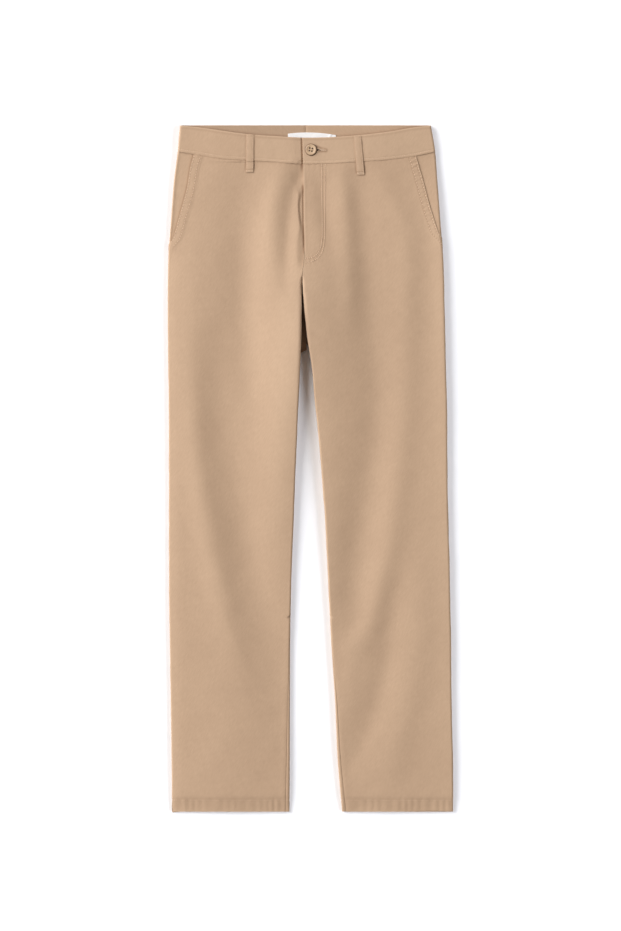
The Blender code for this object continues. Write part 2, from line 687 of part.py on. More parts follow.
def add_front_loop(name, x_top, x_bottom, collection):
    """A belt loop on the waistband's face, standing a little off it between its stitched ends."""
    top = through(FRONT_BAND, "x", "top", x_top) - 1.0
    along = np.linspace(0.0, 1.0, 9)[:, None]
    across = np.linspace(-0.5, 0.5, 4)[None, :]
    y = top - along * LOOP_LENGTH + 0.0 * across
    x = x_top + (x_bottom - x_top) * along + across * LOOP_WIDTH
    z = band_face(x, y) + 0.35 + 1.1 * np.sin(math.pi * along)
    cloth_sheet(name, np.stack([x, y, z], axis=2), LOOP_CLOTH, False, KHAKI, collection, outwards=True)


def add_back_loop(name, x_middle, collection):
    """A belt loop between the back waistband and the surface."""
    along = np.linspace(0.0, 1.0, 7)[:, None]
    across = np.linspace(-0.5, 0.5, 3)[None, :]
    y = WAIST_TOP - 1.0 - along * (LOOP_LENGTH - 3.0) + 0.0 * across
    x = x_middle + across * LOOP_WIDTH + 0.0 * along
    grid = np.stack([x, y, 0.0 * x], axis=2)
    cloth_sheet(name, grid, LOOP_CLOTH, True, KHAKI, collection)


def add_label(collection):
    """The woven label on the inside of the back waistband, bare, with its upper edge showing."""
    along = np.linspace(-LABEL_WIDTH / 2, LABEL_WIDTH / 2, 9)[None, :]
    down = np.array([0.0, 0.5, 1.0])[:, None]
    bow = LABEL_BOW * (1 - (2 * along / LABEL_WIDTH) ** 2)
    y = LABEL_AT[1] + bow - down * LABEL_DEPTH
    x = LABEL_AT[0] + along + 0.0 * down
    z = bed_height("right", x, y) + WAISTBAND_CLOTH + SEAM_GAP
    grid = np.stack([x, y, z], axis=2)
    cloth_sheet("woven_label", grid, LABEL_CLOTH, False, LABEL_WHITE, collection, outwards=True)


def add_zip(collection):
    """The closed zip under the fly: two tapes with the tooth chain and its slider on the inner side."""
    slider_lines = (SLIDER_TOP + 0.5, SLIDER_TOP, SLIDER_BOTTOM, SLIDER_BOTTOM - 0.5)
    lines = (ZIP_TOP,) + slider_lines + (400.0, 360.0, 330.0, ZIP_BOTTOM)
    points = []
    for y in lines:
        on_slider = SLIDER_BOTTOM <= y <= SLIDER_TOP
        half, deep = SLIDER_SECTION if on_slider else CHAIN_SECTION
        x = float(through(SECTIONS, "y", "inner_left", y)) + 1.0
        z = float(top_height("left", x, y)) - FLY_DROP - CLOTH - 0.45
        right_half = ((TAPE_HALF, 0.0), (TAPE_HALF, -TAPE_THICK), (half, -TAPE_THICK), (half, -deep))
        section = right_half + tuple((-dx, dz) for dx, dz in right_half[::-1])
        points.extend((x + dx, y, z + dz) for dx, dz in section)
    sides = 8
    faces = [tuple(range(sides)), tuple(len(points) - 1 - i for i in range(sides))]
    for i in range(len(lines) - 1):
        for j in range(sides):
            a, b = i * sides + j, i * sides + (j + 1) % sides
            faces.append((a, a + sides, b + sides, b))
    new_object("fly_zip", np.array(points) * MM, faces, ZIP_TAN, 0.6, collection)


def add_button(collection, cutters):
    """A four-hole button: a turned disc with a raised rim, and its sewing holes cut through."""
    x, y = BUTTON_AT
    base = float(band_face(np.array(x), np.array(y))) + SEAM_GAP
    radius = BUTTON_DIAMETER / 2
    profile = (
        (0.0, 1.7), (6.2, 1.7), (7.0, BUTTON_THICK), (8.4, BUTTON_THICK),
        (radius, 2.1), (radius, 1.0), (8.2, 0.0), (0.0, 0.0),
    )
    mesh = bpy.data.meshes.new("waist_button")
    edges = [(i, i + 1) for i in range(len(profile) - 1)]
    mesh.from_pydata([(r * MM, 0.0, h * MM) for r, h in profile], edges, [])
    button = bpy.data.objects.new("waist_button", mesh)
    button.data.materials.append(material("waist_button", BUTTON_TAN, BUTTON_ROUGHNESS))
    button.location = (x * MM, y * MM, base * MM)
    collection.objects.link(button)
    screw = button.modifiers.new("turned", "SCREW")
    screw.steps = screw.render_steps = 28
    screw.use_merge_vertices = True
    screw.merge_threshold = 0.00005
    screw.use_normal_calculate = True
    for number in range(4):
        angle = HOLES_TURN + number * math.pi / 2
        hole_x, hole_y = x + HOLES_CIRCLE * math.cos(angle), y + HOLES_CIRCLE * math.sin(angle)
        at = (hole_x * MM, hole_y * MM, base * MM)
        bpy.ops.mesh.primitive_cylinder_add(
            vertices=10, radius=HOLE_RADIUS * MM, depth=4 * BUTTON_THICK * MM, location=at
        )
        hole = bpy.context.object
        hole.name = f"sewing_hole_{number + 1}"
        hole.users_collection[0].objects.unlink(hole)
        cutters.objects.link(hole)
        hole.hide_render = True
        hole.display_type = "WIRE"
        cut = button.modifiers.new(hole.name, "BOOLEAN")
        cut.operation = "DIFFERENCE"
        cut.solver = "EXACT"
        cut.object = hole


def new_collection(name):
    made = bpy.data.collections.new(name)
    bpy.context.scene.collection.children.link(made)
    return made


def build():
    for existing in list(bpy.data.objects):
        bpy.data.objects.remove(existing, do_unlink=True)
    trousers = new_collection("chino_trousers")
    cutters = new_collection("cutters")
    cutters.hide_render = True
    add_panels(trousers)
    add_front_loop("belt_loop_front_right", -93.6, -94.4, trousers)
    add_front_loop("belt_loop_front_left", 72.2, 78.4, trousers)
    add_back_loop("belt_loop_back_right", -122.0, trousers)
    add_back_loop("belt_loop_back_centre", -8.0, trousers)
    add_back_loop("belt_loop_back_left", 106.0, trousers)
    add_label(trousers)
    add_zip(trousers)
    add_button(trousers, cutters)


build()
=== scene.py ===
# %% [markdown]
# # Chino trousers, laid flat on their back
#
# This lesson dresses a finished CAD model of a pair of chinos. The CAD gives each cut and sewn piece its
# place and its main form; here every piece is made again as a finer sheet of cloth on that same form, with
# its seams, stitches, puckers and small creases, and then gets a woven cotton finish.
#
# All lengths in the tables are millimetres. X points to the wearer's left, Y to the waist and Z up out of the
# front. "Right" and "left" are the wearer's.

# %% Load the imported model
import math
from collections import namedtuple

import bpy
import numpy as np
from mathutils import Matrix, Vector
from mathutils.bvhtree import BVHTree


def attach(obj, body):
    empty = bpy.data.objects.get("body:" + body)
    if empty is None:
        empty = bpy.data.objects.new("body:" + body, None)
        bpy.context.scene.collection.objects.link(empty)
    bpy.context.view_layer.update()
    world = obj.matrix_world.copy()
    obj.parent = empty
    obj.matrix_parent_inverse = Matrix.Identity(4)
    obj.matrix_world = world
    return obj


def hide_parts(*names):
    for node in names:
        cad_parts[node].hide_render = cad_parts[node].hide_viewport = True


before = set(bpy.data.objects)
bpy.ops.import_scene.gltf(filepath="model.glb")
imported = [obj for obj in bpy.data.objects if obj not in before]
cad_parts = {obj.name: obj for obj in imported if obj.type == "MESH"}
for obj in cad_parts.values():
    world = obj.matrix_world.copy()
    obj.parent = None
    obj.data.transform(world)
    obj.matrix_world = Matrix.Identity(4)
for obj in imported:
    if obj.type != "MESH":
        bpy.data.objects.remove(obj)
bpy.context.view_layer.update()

MM = 0.001

# %% [markdown]
# ## Curves through tables
#
# A pattern maker draws a garment as smooth curves through a few measured points. The two functions below do
# the same: `ease` is one soft rise from 0 to 1, and `through` is a smooth curve through a table whose
# columns have names. A cubic Hermite curve is used because it passes through every row.

# %% Curves
def ease(value):
    """0 up to 0, 1 from 1, and an even rise between."""
    value = np.clip(value, 0.0, 1.0)
    return value * value * (3.0 - 2.0 * value)


def curve(keys, values, at):
    """A smooth curve through values at rising keys, read at `at`."""
    slopes = np.gradient(values, keys)
    at = np.clip(at, keys[0], keys[-1])
    first = np.clip(np.searchsorted(keys, at) - 1, 0, len(keys) - 2)
    step = keys[first + 1] - keys[first]
    t = (at - keys[first]) / step
    from_first = (2 * t**3 - 3 * t**2 + 1) * values[first] + (t**3 - 2 * t**2 + t) * step * slopes[first]
    from_next = (3 * t**2 - 2 * t**3) * values[first + 1] + (t**3 - t**2) * step * slopes[first + 1]
    return from_first + from_next


def table(columns, *rows):
    """Rows of numbers whose columns have names; a curve is read along the first column."""
    row = namedtuple("Row", columns)
    return [row(*values) for values in rows]


def through(rows, column, at):
    """The curve through a named column of a table, whose first column rises."""
    keys, values = ([getattr(row, name) for row in rows] for name in (rows[0]._fields[0], column))
    return curve(np.array(keys, float), np.array(values, float), at)


def bump_at(away, half_width):
    """A soft bell, 1 at its middle."""
    return np.exp(-0.5 * (away / half_width) ** 2)


def near(away, reach):
    """1 at an edge, fading with the length of cloth away from it."""
    return np.exp(-away / reach)


# %% [markdown]
# ## The sizes of this garment
#
# These are the sizes that the CAD was made from, but for a few that belong to the finer sheets, such as how
# flat the hems are pressed. They are repeated here because every sheet must lie on the same form: the surface
# under the garment is z = 0, the hem is at the bottom of Y and the waist at the top.

# %% Sizes of the garment
SIDES = ("right", "left")
SEAM_GAP = 0.2  # between the edges of two pieces that are sewn together
WAIST_TUCK = 1.2  # of the fronts under the waistband's edge
CLOTH = 1.2  # one panel's wall
HEM_CLOTH = 2.0  # where the hem is turned up
WAISTBAND_CLOTH = 2.2  # folded double over its stiffening
LOOP_CLOTH = 1.6
LABEL_CLOTH = 0.6

WAIST_TOP = 531.6
HEM = -531.2
HEM_STITCH = HEM + 18.0
HEM_PRESSED = 3.2  # lower at the hem's edge than up the leg
BACK_BAND_SEAM = 491.7
CROTCH_TOP = 300.0  # where the two fronts part
CROTCH_DEEP = 266.0  # from here down the fronts' inner edges stand on the back panels
RIGHT_CROTCH = 183.4  # lower end of the crotch on the right back panel
LEFT_CROTCH = 193.1

SEAM_HEIGHT = 4.5  # side seams and inseams over the surface
EDGE_ROUND = 2.6  # radius from an edge onto the top
UNDER_ROUND = 4.0  # radius from an edge onto the surface
CROTCH_FOOT = CLOTH + 0.45  # the fronts' inner edges over the surface, on the back panels
CROTCH_EASE = 0.35  # more room in the bulky seams there
LOOP_BED = LOOP_CLOTH + 0.4  # the back waistband lies on its belt loops
BAND_PROUD = 0.5  # the waistband's face over the panels' faces

FLY_LAP = 4.0  # the right front runs on under the left front
FLY_DROP = 2.1
BAND_LAP = 38.0  # the right waistband's underlap, which carries the button
BAND_DROP = WAISTBAND_CLOTH + 0.45
POCKET_TIP = 330.0  # lower end of the pockets, on the side seam
POCKET_TUCK = 9.0  # pocket facing under the front's slanted edge
POCKET_DROP = 1.9
BUTTON_AT = (0.3, 492.9)
LOOP_WIDTH = 12.0
LOOP_LENGTH = 58.0

# A row for each measured section: X of the legs' edges, then the upper cloth's height at the side seam, in
# the middle and at the inner edge.
SECTIONS = table(
    "y side_right inner_right inner_left side_left outer mid inner",
    (-531.2, -215.1, -32.9, 48.4, 220.5, 8.5, 11, 9),
    (-451, -215.6, -32.4, 41.6, 220, 9.5, 12, 10.5),
    (-358, -217, -32.2, 37.4, 217.8, 9.5, 12.5, 11),
    (-265, -218.4, -31.8, 31.4, 217, 10, 13, 11.5),
    (-203, -219.4, -30.8, 28.3, 215.8, 10, 13.5, 12),
    (-141, -219.7, -29, 25.2, 214.6, 10, 14, 12.5),
    (-79, -219.7, -26.4, 22.1, 212.9, 10, 15, 13.5),
    (-17, -219.7, -24.2, 17.4, 211.6, 10.5, 15.5, 14.5),
    (45, -219.7, -21.4, 12.4, 211.2, 10.5, 16, 16),
    (107, -219.9, -18.9, 5.9, 210.6, 11, 16.5, 18),
    (154, -220.6, -16.5, 2, 209.2, 11, 17, 20),
    (200, -221.2, -14.6, -5, 208.2, 11, 17.5, 22),
    (262, -221.4, -13.9, -11.2, 206.8, 11, 17.5, 23),
    (298, -221.2, -13.2, -12.8, 206, 11, 17, 22.5),
    (324, -220.6, -10.4, -10.1, 205, 11, 16.5, 21),
    (386, -216.4, -10.7, -10.4, 200.6, 11, 15, 17),
    (448, -211.6, -11.4, -11.1, 196, 11.5, 14.8, 15.5),
    (492, -206, -12.3, -12, 192.4, 12, 15, 15),
    (531.6, -202.3, -13.6, -13.3, 185.8, 12, 15, 15),
)

CENTRE_BACK = table("y x", (180.0, -6.4), (262.0, -6.6), (531.6, -8.0))

# How far the inseam is rolled in over the top.
INSEAM_ROLL = table("y inset", (-531.2, 6.2), (-451, 5), (-358, 3.2), (-290, 1), (-230, 0), (-150, 0))

# The front waistband dips between the sides: its top edge and the seam under it.
FRONT_BAND = table(
    "x top seam",
    (-206, 530.6, 490),
    (-180, 528.4, 485.7),
    (-136, 522.1, 478.6),
    (-100, 517.2, 476.3),
    (-55, 513.9, 473.1),
    (-8, 511.7, 470.5),
    (20, 512.1, 470.9),
    (72, 515.1, 473.7),
    (120, 520.6, 476.9),
    (165, 528.3, 483.4),
    (192, 530.8, 489.2),
)

POCKET_EDGES = {
    "right": table(
        "y x",
        (POCKET_TIP, -221),
        (342, -219),
        (355, -213.8),
        (391, -203.4),
        (435.5, -191.4),
        (467, -186.2),
        (487.6, -180.8),
    ),
    "left": table(
        "y x",
        (POCKET_TIP, 205.6),
        (342, 203.6),
        (353, 201),
        (376, 193.6),
        (405, 184.5),
        (450, 172.6),
        (486.6, 161.8),
    ),
}
at_hem = SECTIONS[0]
hems = at_hem.inner_right - at_hem.side_right, at_hem.side_left - at_hem.inner_left
print("waist to hem:", round(WAIST_TOP - HEM, 1), "mm; hems:", [round(hem, 1) for hem in hems], "mm")

# %% [markdown]
# ## Folds
#
# Cotton twill laid on a table keeps long, soft folds. Each fold here is a ridge or a trough that follows its
# own path down the leg and fades out at both ends. A path is a short table of places and heights, so that
# every fold can be moved, deepened or softened by itself. Sculpting would give less even control.

# %% Folds
Fold = namedtuple("Fold", "side half_width path")
FOLDS = [Fold(side, half_width, table("y x rise", *path)) for side, half_width, path in (
    ("right", 26, (  # the long trough down the right thigh
        (-470, -34, 0), (-396, -40, -1.2), (-319, -54, -2),
        (-241, -72, -3.2), (-164, -91, -4.8), (-79, -107, -6.2),
        (29, -125, -7), (106, -131, -7), (184, -130, -6.4),
        (261, -122, -5), (339, -114, -4), (416, -110, -3),
        (474, -104, -1),
    )),
    ("right", 15, (  # ridge outside it, which drifts inwards towards the knee
        (-350, -94, 0), (-290, -114, 1.2), (-203, -136, 2),
        (-79, -162, 2.6), (29, -178, 2.6), (106, -182, 2.2),
        (184, -186, 1.4), (320, -186, 0.8), (465, -176, 0),
    )),
    ("right", 11, (  # the soft shoulder along the right side seam
        (-531.2, -226, -3), (0, -229, -3.8), (320, -229, -3.2),
        (400, -224, -1.2), (480, -216, 0),
    )),
    ("right", 30, (  # the fullness on the inner thigh
        (-300, -34, 0), (-200, -44, 1.8), (-79, -42, 3.4),
        (45, -30, 5.8), (138, -16, 7.8), (210, -8, 7.9),
        (280, -8, 4.4), (340, -10, 2), (420, -14, 0),
    )),
    ("right", 19, (  # shallow hollow between that and the trough
        (-100, -76, 0), (20, -82, -2), (100, -90, -3.4),
        (200, -93, -4.2), (280, -96, -3), (360, -98, -1.2), (440, -98, 0),
    )),
    ("right", 12, (  # ridge that falls from the waistband beside the fly
        (270, -62, 0), (320, -62, 1.4), (378, -61, 2.4),
        (430, -54, 2.4), (476, -42, 0.8),
    )),
    ("right", 8, (  # narrow trough along the fly, which starts at its top
        (262, -36, 0), (300, -38, -1.2), (355, -36, -1.9),
        (400, -32, -1.5), (430, -26, -1.4), (452, -16, -1.5),
        (476, -6, -1),
    )),
    ("left", 9, (  # dip under the fly's stitching
        (300, 36, 0), (335, 30, -0.5), (378, 25, -1.6),
        (420, 20, -1.5), (468, 10, 0),
    )),
    ("left", 11, (  # narrow ridge beside it
        (212, 60, 0), (262, 60, 1.3), (324, 59, 1.6), (386, 56, 2.3),
        (435, 51, 2.4), (474, 45, 0.4),
    )),
    ("left", 21, (  # the long trough down the left thigh
        (-270, 62, 0), (-241, 63, -2), (-203, 66, -3),
        (-125, 75, -3.8), (-48, 88, -4.2), (29, 98, -4.2),
        (106, 104, -3.6), (223, 99, -3.2), (324, 90, -2.8),
        (400, 78, -2.2), (474, 72, 0),
    )),
    ("left", 14, (  # ridge outside it
        (-450, 38, 0), (-396, 48, 0.8), (-340, 56, 1.2),
        (-284, 68, 1.2), (-241, 92, 1.8), (-203, 102, 2),
        (-125, 120, 1.6), (-48, 132, 1.3), (29, 142, 1.2),
        (140, 149, 1.2), (261, 150, 1.6), (350, 148, 1.7),
        (410, 130, 1.2), (440, 112, 1), (474, 104, 0),
    )),
    ("left", 34, (  # the fullness along the left side seam
        (-531.2, 216, 2.4), (-300, 214, 3.4), (0, 210, 4.2),
        (250, 208, 4.2), (400, 194, 2.2), (480, 180, 0),
    )),
    ("left", 12, (  # its steep rim, strongest below the pocket
        (-531.2, 224, 0.5), (-200, 219, 0.9), (100, 214, 1.4),
        (300, 208, 2.2), (420, 201, 2.2), (480, 192, 0),
    )),
    ("left", 60, (  # and over the crotch, level with the right front
        (110, -2, 0), (200, -8, 2.2), (286, -12, 4),
        (340, -11, 2), (410, -11, 0),
    )),
    ("left", 22, (  # the fullness on the left inner thigh
        (-300, 46, 0), (-200, 34, 1.6), (-48, 25, 2.4),
        (68, 22, 2), (184, 22, 0.8), (250, 22, 0),
    )),
    ("left", 15, (  # trough that crosses the left shin
        (-505, 48, 0), (-435, 75, -1.4), (-358, 104, -2.2),
        (-280, 119, -2.5), (-203, 127, -1.7), (-130, 140, 0),
    )),
    ("left", 17, (  # ridge along its outer side
        (-518, 104, 0), (-435, 132, 1.4), (-319, 160, 1.6),
        (-203, 168, 1.2), (-100, 166, 0),
    )),
)]


def folds(side, x, y):
    """The sum of the side's ridges and troughs."""
    total = np.zeros(np.broadcast(x, y).shape)
    for fold in FOLDS:
        if fold.side == side:
            away = x - through(fold.path, "x", y)
            inside = (y > fold.path[0].y) & (y < fold.path[-1].y)
            total += inside * through(fold.path, "rise", y) * bump_at(away, fold.half_width)
    return total


print("folds:", len(FOLDS), "of which troughs:", sum(fold.path[1].rise < 0 for fold in FOLDS))

# %% [markdown]
# ## Where the cloth lies
#
# Across a leg the cloth is one closed loop: flat on the surface, up a rounded edge, over the top and down
# again. The functions below answer two questions for any place: how high is the upper cloth, and how does it
# turn over an edge. `run` is always a length measured along the cloth from the side seam, as a tape measure
# would lie, because a length along the cloth can be cut and sewn.

# %% The lie of the cloth
def inwards(side):
    """The sign of X from the side seam towards the middle."""
    return 1.0 if side == "right" else -1.0


def crotch_line(side):
    return RIGHT_CROTCH if side == "right" else LEFT_CROTCH


def outer_edge(side, y):
    return through(SECTIONS, "side_" + side, y)


def fly_line(y):
    return through(SECTIONS, "inner_left", y)


def inner_edge(side, y):
    """The leg's inner edge or, above the crotch, the fly; the right front laps under the left one."""
    lap = FLY_LAP * ease((y - 334.0) / 12.0) if side == "right" else 0.0
    return through(SECTIONS, "inner_" + side, y) + lap


def top_height(side, x, y):
    """Height of the upper cloth's face, away from the rounded edges."""
    outer, inner = outer_edge(side, y), through(SECTIONS, "inner_" + side, y)
    across = (x - outer) / (inner - outer)
    at_outer, at_mid, at_inner = (through(SECTIONS, column, y) for column in ("outer", "mid", "inner"))
    first_half = at_outer + (at_mid - at_outer) * ease(2 * across)
    height = first_half + (at_inner - at_mid) * ease(2 * across - 1)
    pressed = HEM_PRESSED * ease((HEM + 30.0 - y) / 30.0)
    return height + folds(side, x, y) - pressed


# The right front steps down to pass under the fly. Where it folds back in a narrow lens the step is sharp
# and further out; above and below that the cloth only slopes. `away` is from the fly to the step's foot, and
# `wide` is the width of the step.
LENS = table(
    "y away wide",
    (300, 0.6, 9),
    (352, 0.6, 12),
    (364, 1.2, 9),
    (373, 2.4, 5.4),
    (384, 4.2, 4.2),
    (396, 5.6, 3.8),
    (406, 6, 3.8),
    (415, 5, 4.4),
    (424, 2.8, 6.4),
    (434, 1.2, 14),
    (450, 0.8, 26),
    (492, 0.8, 26),
)


LENS_TOP = 426.0  # from here up the step is soft again
CREASE_DEPTH = 1.1  # of the crease at the step's foot


def front_height(side, x, y):
    """As top_height, with the right front's step down under the fly and the crease at the step's foot."""
    height = top_height(side, x, y)
    if side == "left":
        return height
    above_crotch = ease((y - CROTCH_TOP - 2.0) / 28.0)
    away, wide = through(LENS, "away", y), through(LENS, "wide", y)
    step = ease((x - fly_line(y) + away + wide) / wide)
    near_top = ease((y - LENS_TOP) / 8.0)
    crease = CREASE_DEPTH * ease((y - 336.0) / 12.0) * (1 - near_top) * bump_at(x - fly_line(y) + 0.8, 1.0)
    return height - above_crotch * (FLY_DROP * (1 - 0.4 * near_top) * step + crease)


def bed_height(side, x, y):
    """Height of the lower cloth's underside: on the surface, and on the belt loops at the back waist."""
    from_side = np.abs(x - outer_edge(side, y))
    return LOOP_BED * ease((y - 452.0) / 20.0) * ease((from_side - 14.0) / 40.0)


def round_length(rise, radius):
    """Length of cloth up a wall and round onto the top."""
    return rise - radius + radius * math.pi / 2


def round_edge(run, rise, radius):
    """Inset and climb, `run` along cloth that goes up a wall, turns and lies level."""
    radius = np.maximum(radius, 1e-6)
    turn = np.clip((run - rise + radius) / radius, 0.0, math.pi / 2)
    level = np.maximum(run - round_length(rise, radius), 0.0)
    return radius * (1 - np.cos(turn)) + level, np.minimum(run, rise - radius) + radius * np.sin(turn)


CURL = round_length(SEAM_HEIGHT, UNDER_ROUND)  # length of the lower cloth's rounded edge


def run_at_inset(inset, rise, radius):
    """The run along the cloth to a place `inset` from its edge in plan."""
    turn = np.arccos(np.clip(1 - inset / radius, 0.0, 1.0))
    return rise - radius + radius * turn + np.maximum(inset - radius, 0.0)


def outer_round(side, y):
    """(rise, radius) of the top's outer edge over the side seam."""
    shoulder = outer_edge(side, y) + inwards(side) * EDGE_ROUND
    rise = top_height(side, shoulder, y) - SEAM_HEIGHT
    return rise, np.minimum(rise, EDGE_ROUND)


def inner_round(side, y):
    """(foot, rise, radius) of the top's inner edge: no rise at the fly, down to the back at the crotch."""
    shoulder = inner_edge(side, y) - inwards(side) * EDGE_ROUND
    top = front_height(side, shoulder, y)
    above = y - crotch_line(side)
    lowest = SEAM_HEIGHT + (CROTCH_FOOT - SEAM_HEIGHT) * ease((above + 2.0) / 2.0)
    lowest = lowest + CROTCH_EASE * ease(1 - np.abs(above) / 40.0)
    drop = ease((CROTCH_TOP - y) / (CROTCH_TOP - CROTCH_DEEP))
    rise = drop * (top - lowest)
    return top - rise, rise, np.minimum(rise, EDGE_ROUND)


def inseam_inset(y):
    return through(INSEAM_ROLL, "inset", y)


def pocket_inset(side, y):
    """How far the pocket's slanted edge is from the side in plan; 0 below the pocket."""
    edge = through(POCKET_EDGES[side], "x", y)
    return np.where(y > POCKET_TIP, np.maximum((edge - outer_edge(side, y)) * inwards(side), 0.0), 0.0)


def band_seam_shift(x, row):
    """How far a front's row is moved along Y to follow the dipping waistband seam."""
    fade = np.clip(1 - (BACK_BAND_SEAM - row) / 110.0, 0.0, 1.0)
    return fade * (through(FRONT_BAND, "seam", x) - BACK_BAND_SEAM)


print("upper cloth at mid thigh:", round(float(top_height("right", -120.0, 100.0)), 1), "mm over the surface")

# %% [markdown]
# ## A front panel
#
# A panel is a grid: rows run down the leg and columns across it. Columns are spaced by length of cloth, close
# together near the edges, where the stitches and rounded turns are, and wider in the calm middle.

# %% Columns and rows of a front
POCKET_ROWS = (2.0, 10.9)  # the two rows of stitches beside the pocket's edge
OUTER_STEPS = (
    0.0, 0.4, 1.1, POCKET_ROWS[0], 2.9, 3.8, 4.8, 5.8, 6.8, 7.9, 8.9, 9.9, POCKET_ROWS[1], 11.9, 13.0, 14.4,
)
INNER_STEPS = (0.0, 0.4, 1.0) + tuple(1.6 + 0.85 * number for number in range(26))
FRONT_MIDDLE = 64


def rows_between(*stretches):
    """Y of each row from pairs of (start, largest step), down to the last start."""
    lines = []
    for (start, step), (stop, _) in zip(stretches, stretches[1:]):
        count = math.ceil((start - stop) / step)
        lines.append(np.linspace(start, stop, count, endpoint=False))
    return np.append(np.concatenate(lines), stretches[-1][0])


FRONT_ROWS = rows_between(
    (BACK_BAND_SEAM, 0.9), (BACK_BAND_SEAM - 5.0, 1.6), (472.0, 2.5), (POCKET_TIP, 2.2), (250.0, 2.4),
    (LEFT_CROTCH, 1.9), (RIGHT_CROTCH, 2.6), (150.0, 3.1), (HEM_STITCH + 14.0, 1.4), (HEM_STITCH, 1.3),
    (HEM, 1.0),
)


def even_runs(first, last, steps):
    return [first + (last - first) * number / steps for number in range(1, steps)]


def inseam_roll(side, y):
    """The run from the leg's inner edge, over the top, to the rolled inseam."""
    _, rise, radius = inner_round(side, y)
    rolled = run_at_inset(inseam_inset(y), rise, np.maximum(radius, 1e-6))
    return np.where(inseam_inset(y) > 0.0, np.maximum(rolled, 0.0), 0.0)


def front_width(side, y):
    """Length of cloth across a front's whole section."""
    rise_out, radius_out = outer_round(side, y)
    _, rise_in, radius_in = inner_round(side, y)
    flat = np.abs(inner_edge(side, y) - outer_edge(side, y)) - radius_out - radius_in
    return flat + round_length(rise_out, radius_out) + round_length(rise_in, radius_in)


def front_runs(side, y):
    """Where each column of a front runs at `y`, as lengths of cloth from the side seam."""
    inset = pocket_inset(side, y)
    slant = np.maximum(run_at_inset(inset, *outer_round(side, y)), SEAM_GAP / 2)
    start = SEAM_GAP / 2 + (slant - SEAM_GAP / 2) * ease(inset / 5.0)
    outer = [start + step for step in OUTER_STEPS]
    finish = front_width(side, y) - SEAM_GAP / 2 - inseam_roll(side, y)
    inner = [finish - step for step in INNER_STEPS[::-1]]
    return outer + even_runs(outer[-1], inner[0], FRONT_MIDDLE) + inner


def front_point(side, y, run):
    """X and Z of a front's face, `run` along the cloth from the side seam."""
    rise_out, radius_out = outer_round(side, y)
    foot, rise_in, radius_in = inner_round(side, y)
    left_over = front_width(side, y) - run
    inset_out, climb_out = round_edge(run, rise_out, radius_out)
    inset_in, climb_in = round_edge(left_over, rise_in, radius_in)
    from_outer = outer_edge(side, y) + inwards(side) * inset_out
    x = np.where(run < left_over, from_outer, inner_edge(side, y) - inwards(side) * inset_in)
    z = front_height(side, x, y)
    z = np.where(run < round_length(rise_out, radius_out), SEAM_HEIGHT + climb_out, z)
    return x, np.where(left_over < round_length(rise_in, radius_in), foot + climb_in, z)


def own_runs(runs):
    """The run of each column at its own places, from every column's runs at all places."""
    return np.einsum("crc->rc", np.array(runs))


def front_grid(side):
    """Points of a front panel, rows from the waistband to the hem, columns from the side to the middle."""
    columns = len(front_runs(side, FRONT_ROWS))
    rows = np.repeat(FRONT_ROWS[:, None], columns, axis=1)
    y = rows
    for _ in range(3):
        x, z = front_point(side, y, own_runs(front_runs(side, y)))
        y = rows + band_seam_shift(x, rows)
    return np.stack([x, y + WAIST_TUCK * (rows == rows[0]), z], axis=2)


fronts = {side: front_grid(side) for side in SIDES}
print("points in a front panel:", fronts["right"].shape[0] * fronts["right"].shape[1])

# %% [markdown]
# ## Relief
#
# Fine form is added as relief: each point moves a little along the cloth's own normal, so it works on level
# cloth and round an edge alike. Seams sink, doubled cloth stands up, and cloth between two rows of stitches
# puckers like a rope, because the stitches draw the layers together.

# %% Tools for relief
def plan(grid):
    """X and Y of a grid's points."""
    return grid[:, :, 0], grid[:, :, 1]


def grid_normals(grid, sign):
    """Unit normals of a grid, outwards; `sign` says which way round its rows and columns run."""
    normal = sign * np.cross(np.gradient(grid, axis=1), np.gradient(grid, axis=0))
    return normal / np.maximum(np.linalg.norm(normal, axis=2, keepdims=True), 1e-12)


def edge_lengths(grid):
    """Lengths of cloth from a grid's first and last column, and from its first and last row."""
    across = np.linalg.norm(np.diff(grid, axis=1), axis=2)
    down = np.linalg.norm(np.diff(grid, axis=0), axis=2)
    from_first = np.pad(np.cumsum(across, axis=1), ((0, 0), (1, 0)))
    from_top = np.pad(np.cumsum(down, axis=0), ((1, 0), (0, 0)))
    return from_first, from_first[:, -1:] - from_first, from_top, from_top[-1:] - from_top


def drift(x, y, seed, longest=90.0, shortest=24.0):
    """Slight, even unrest of washed cloth: eight waves of different length and direction, from -1 to 1."""
    random = np.random.default_rng(seed)
    total = 0.0
    for length in np.geomspace(shortest, longest, 8):
        turn, start = random.uniform(0.0, math.pi), random.uniform(0.0, 2 * math.pi)
        wave = (x * math.cos(turn) + y * math.sin(turn)) / length
        total = total + np.sin(2 * math.pi * wave + start + 1.4 * np.sin(wave * 1.7))
    return total / 4.0


def lengths_along(points):
    """The length along a line up to each of its points."""
    return np.append(0.0, np.cumsum(np.linalg.norm(np.diff(points, axis=0), axis=1)))


def smooth_line(points, step=1.0):
    """Points along a smooth curve through a few given ones."""
    points = np.array(points, float)
    chord = lengths_along(points)
    at = np.linspace(0.0, chord[-1], max(2, int(chord[-1] / step)))
    return np.stack([curve(chord, points[:, k], at) for k in range(points.shape[1])], axis=1)


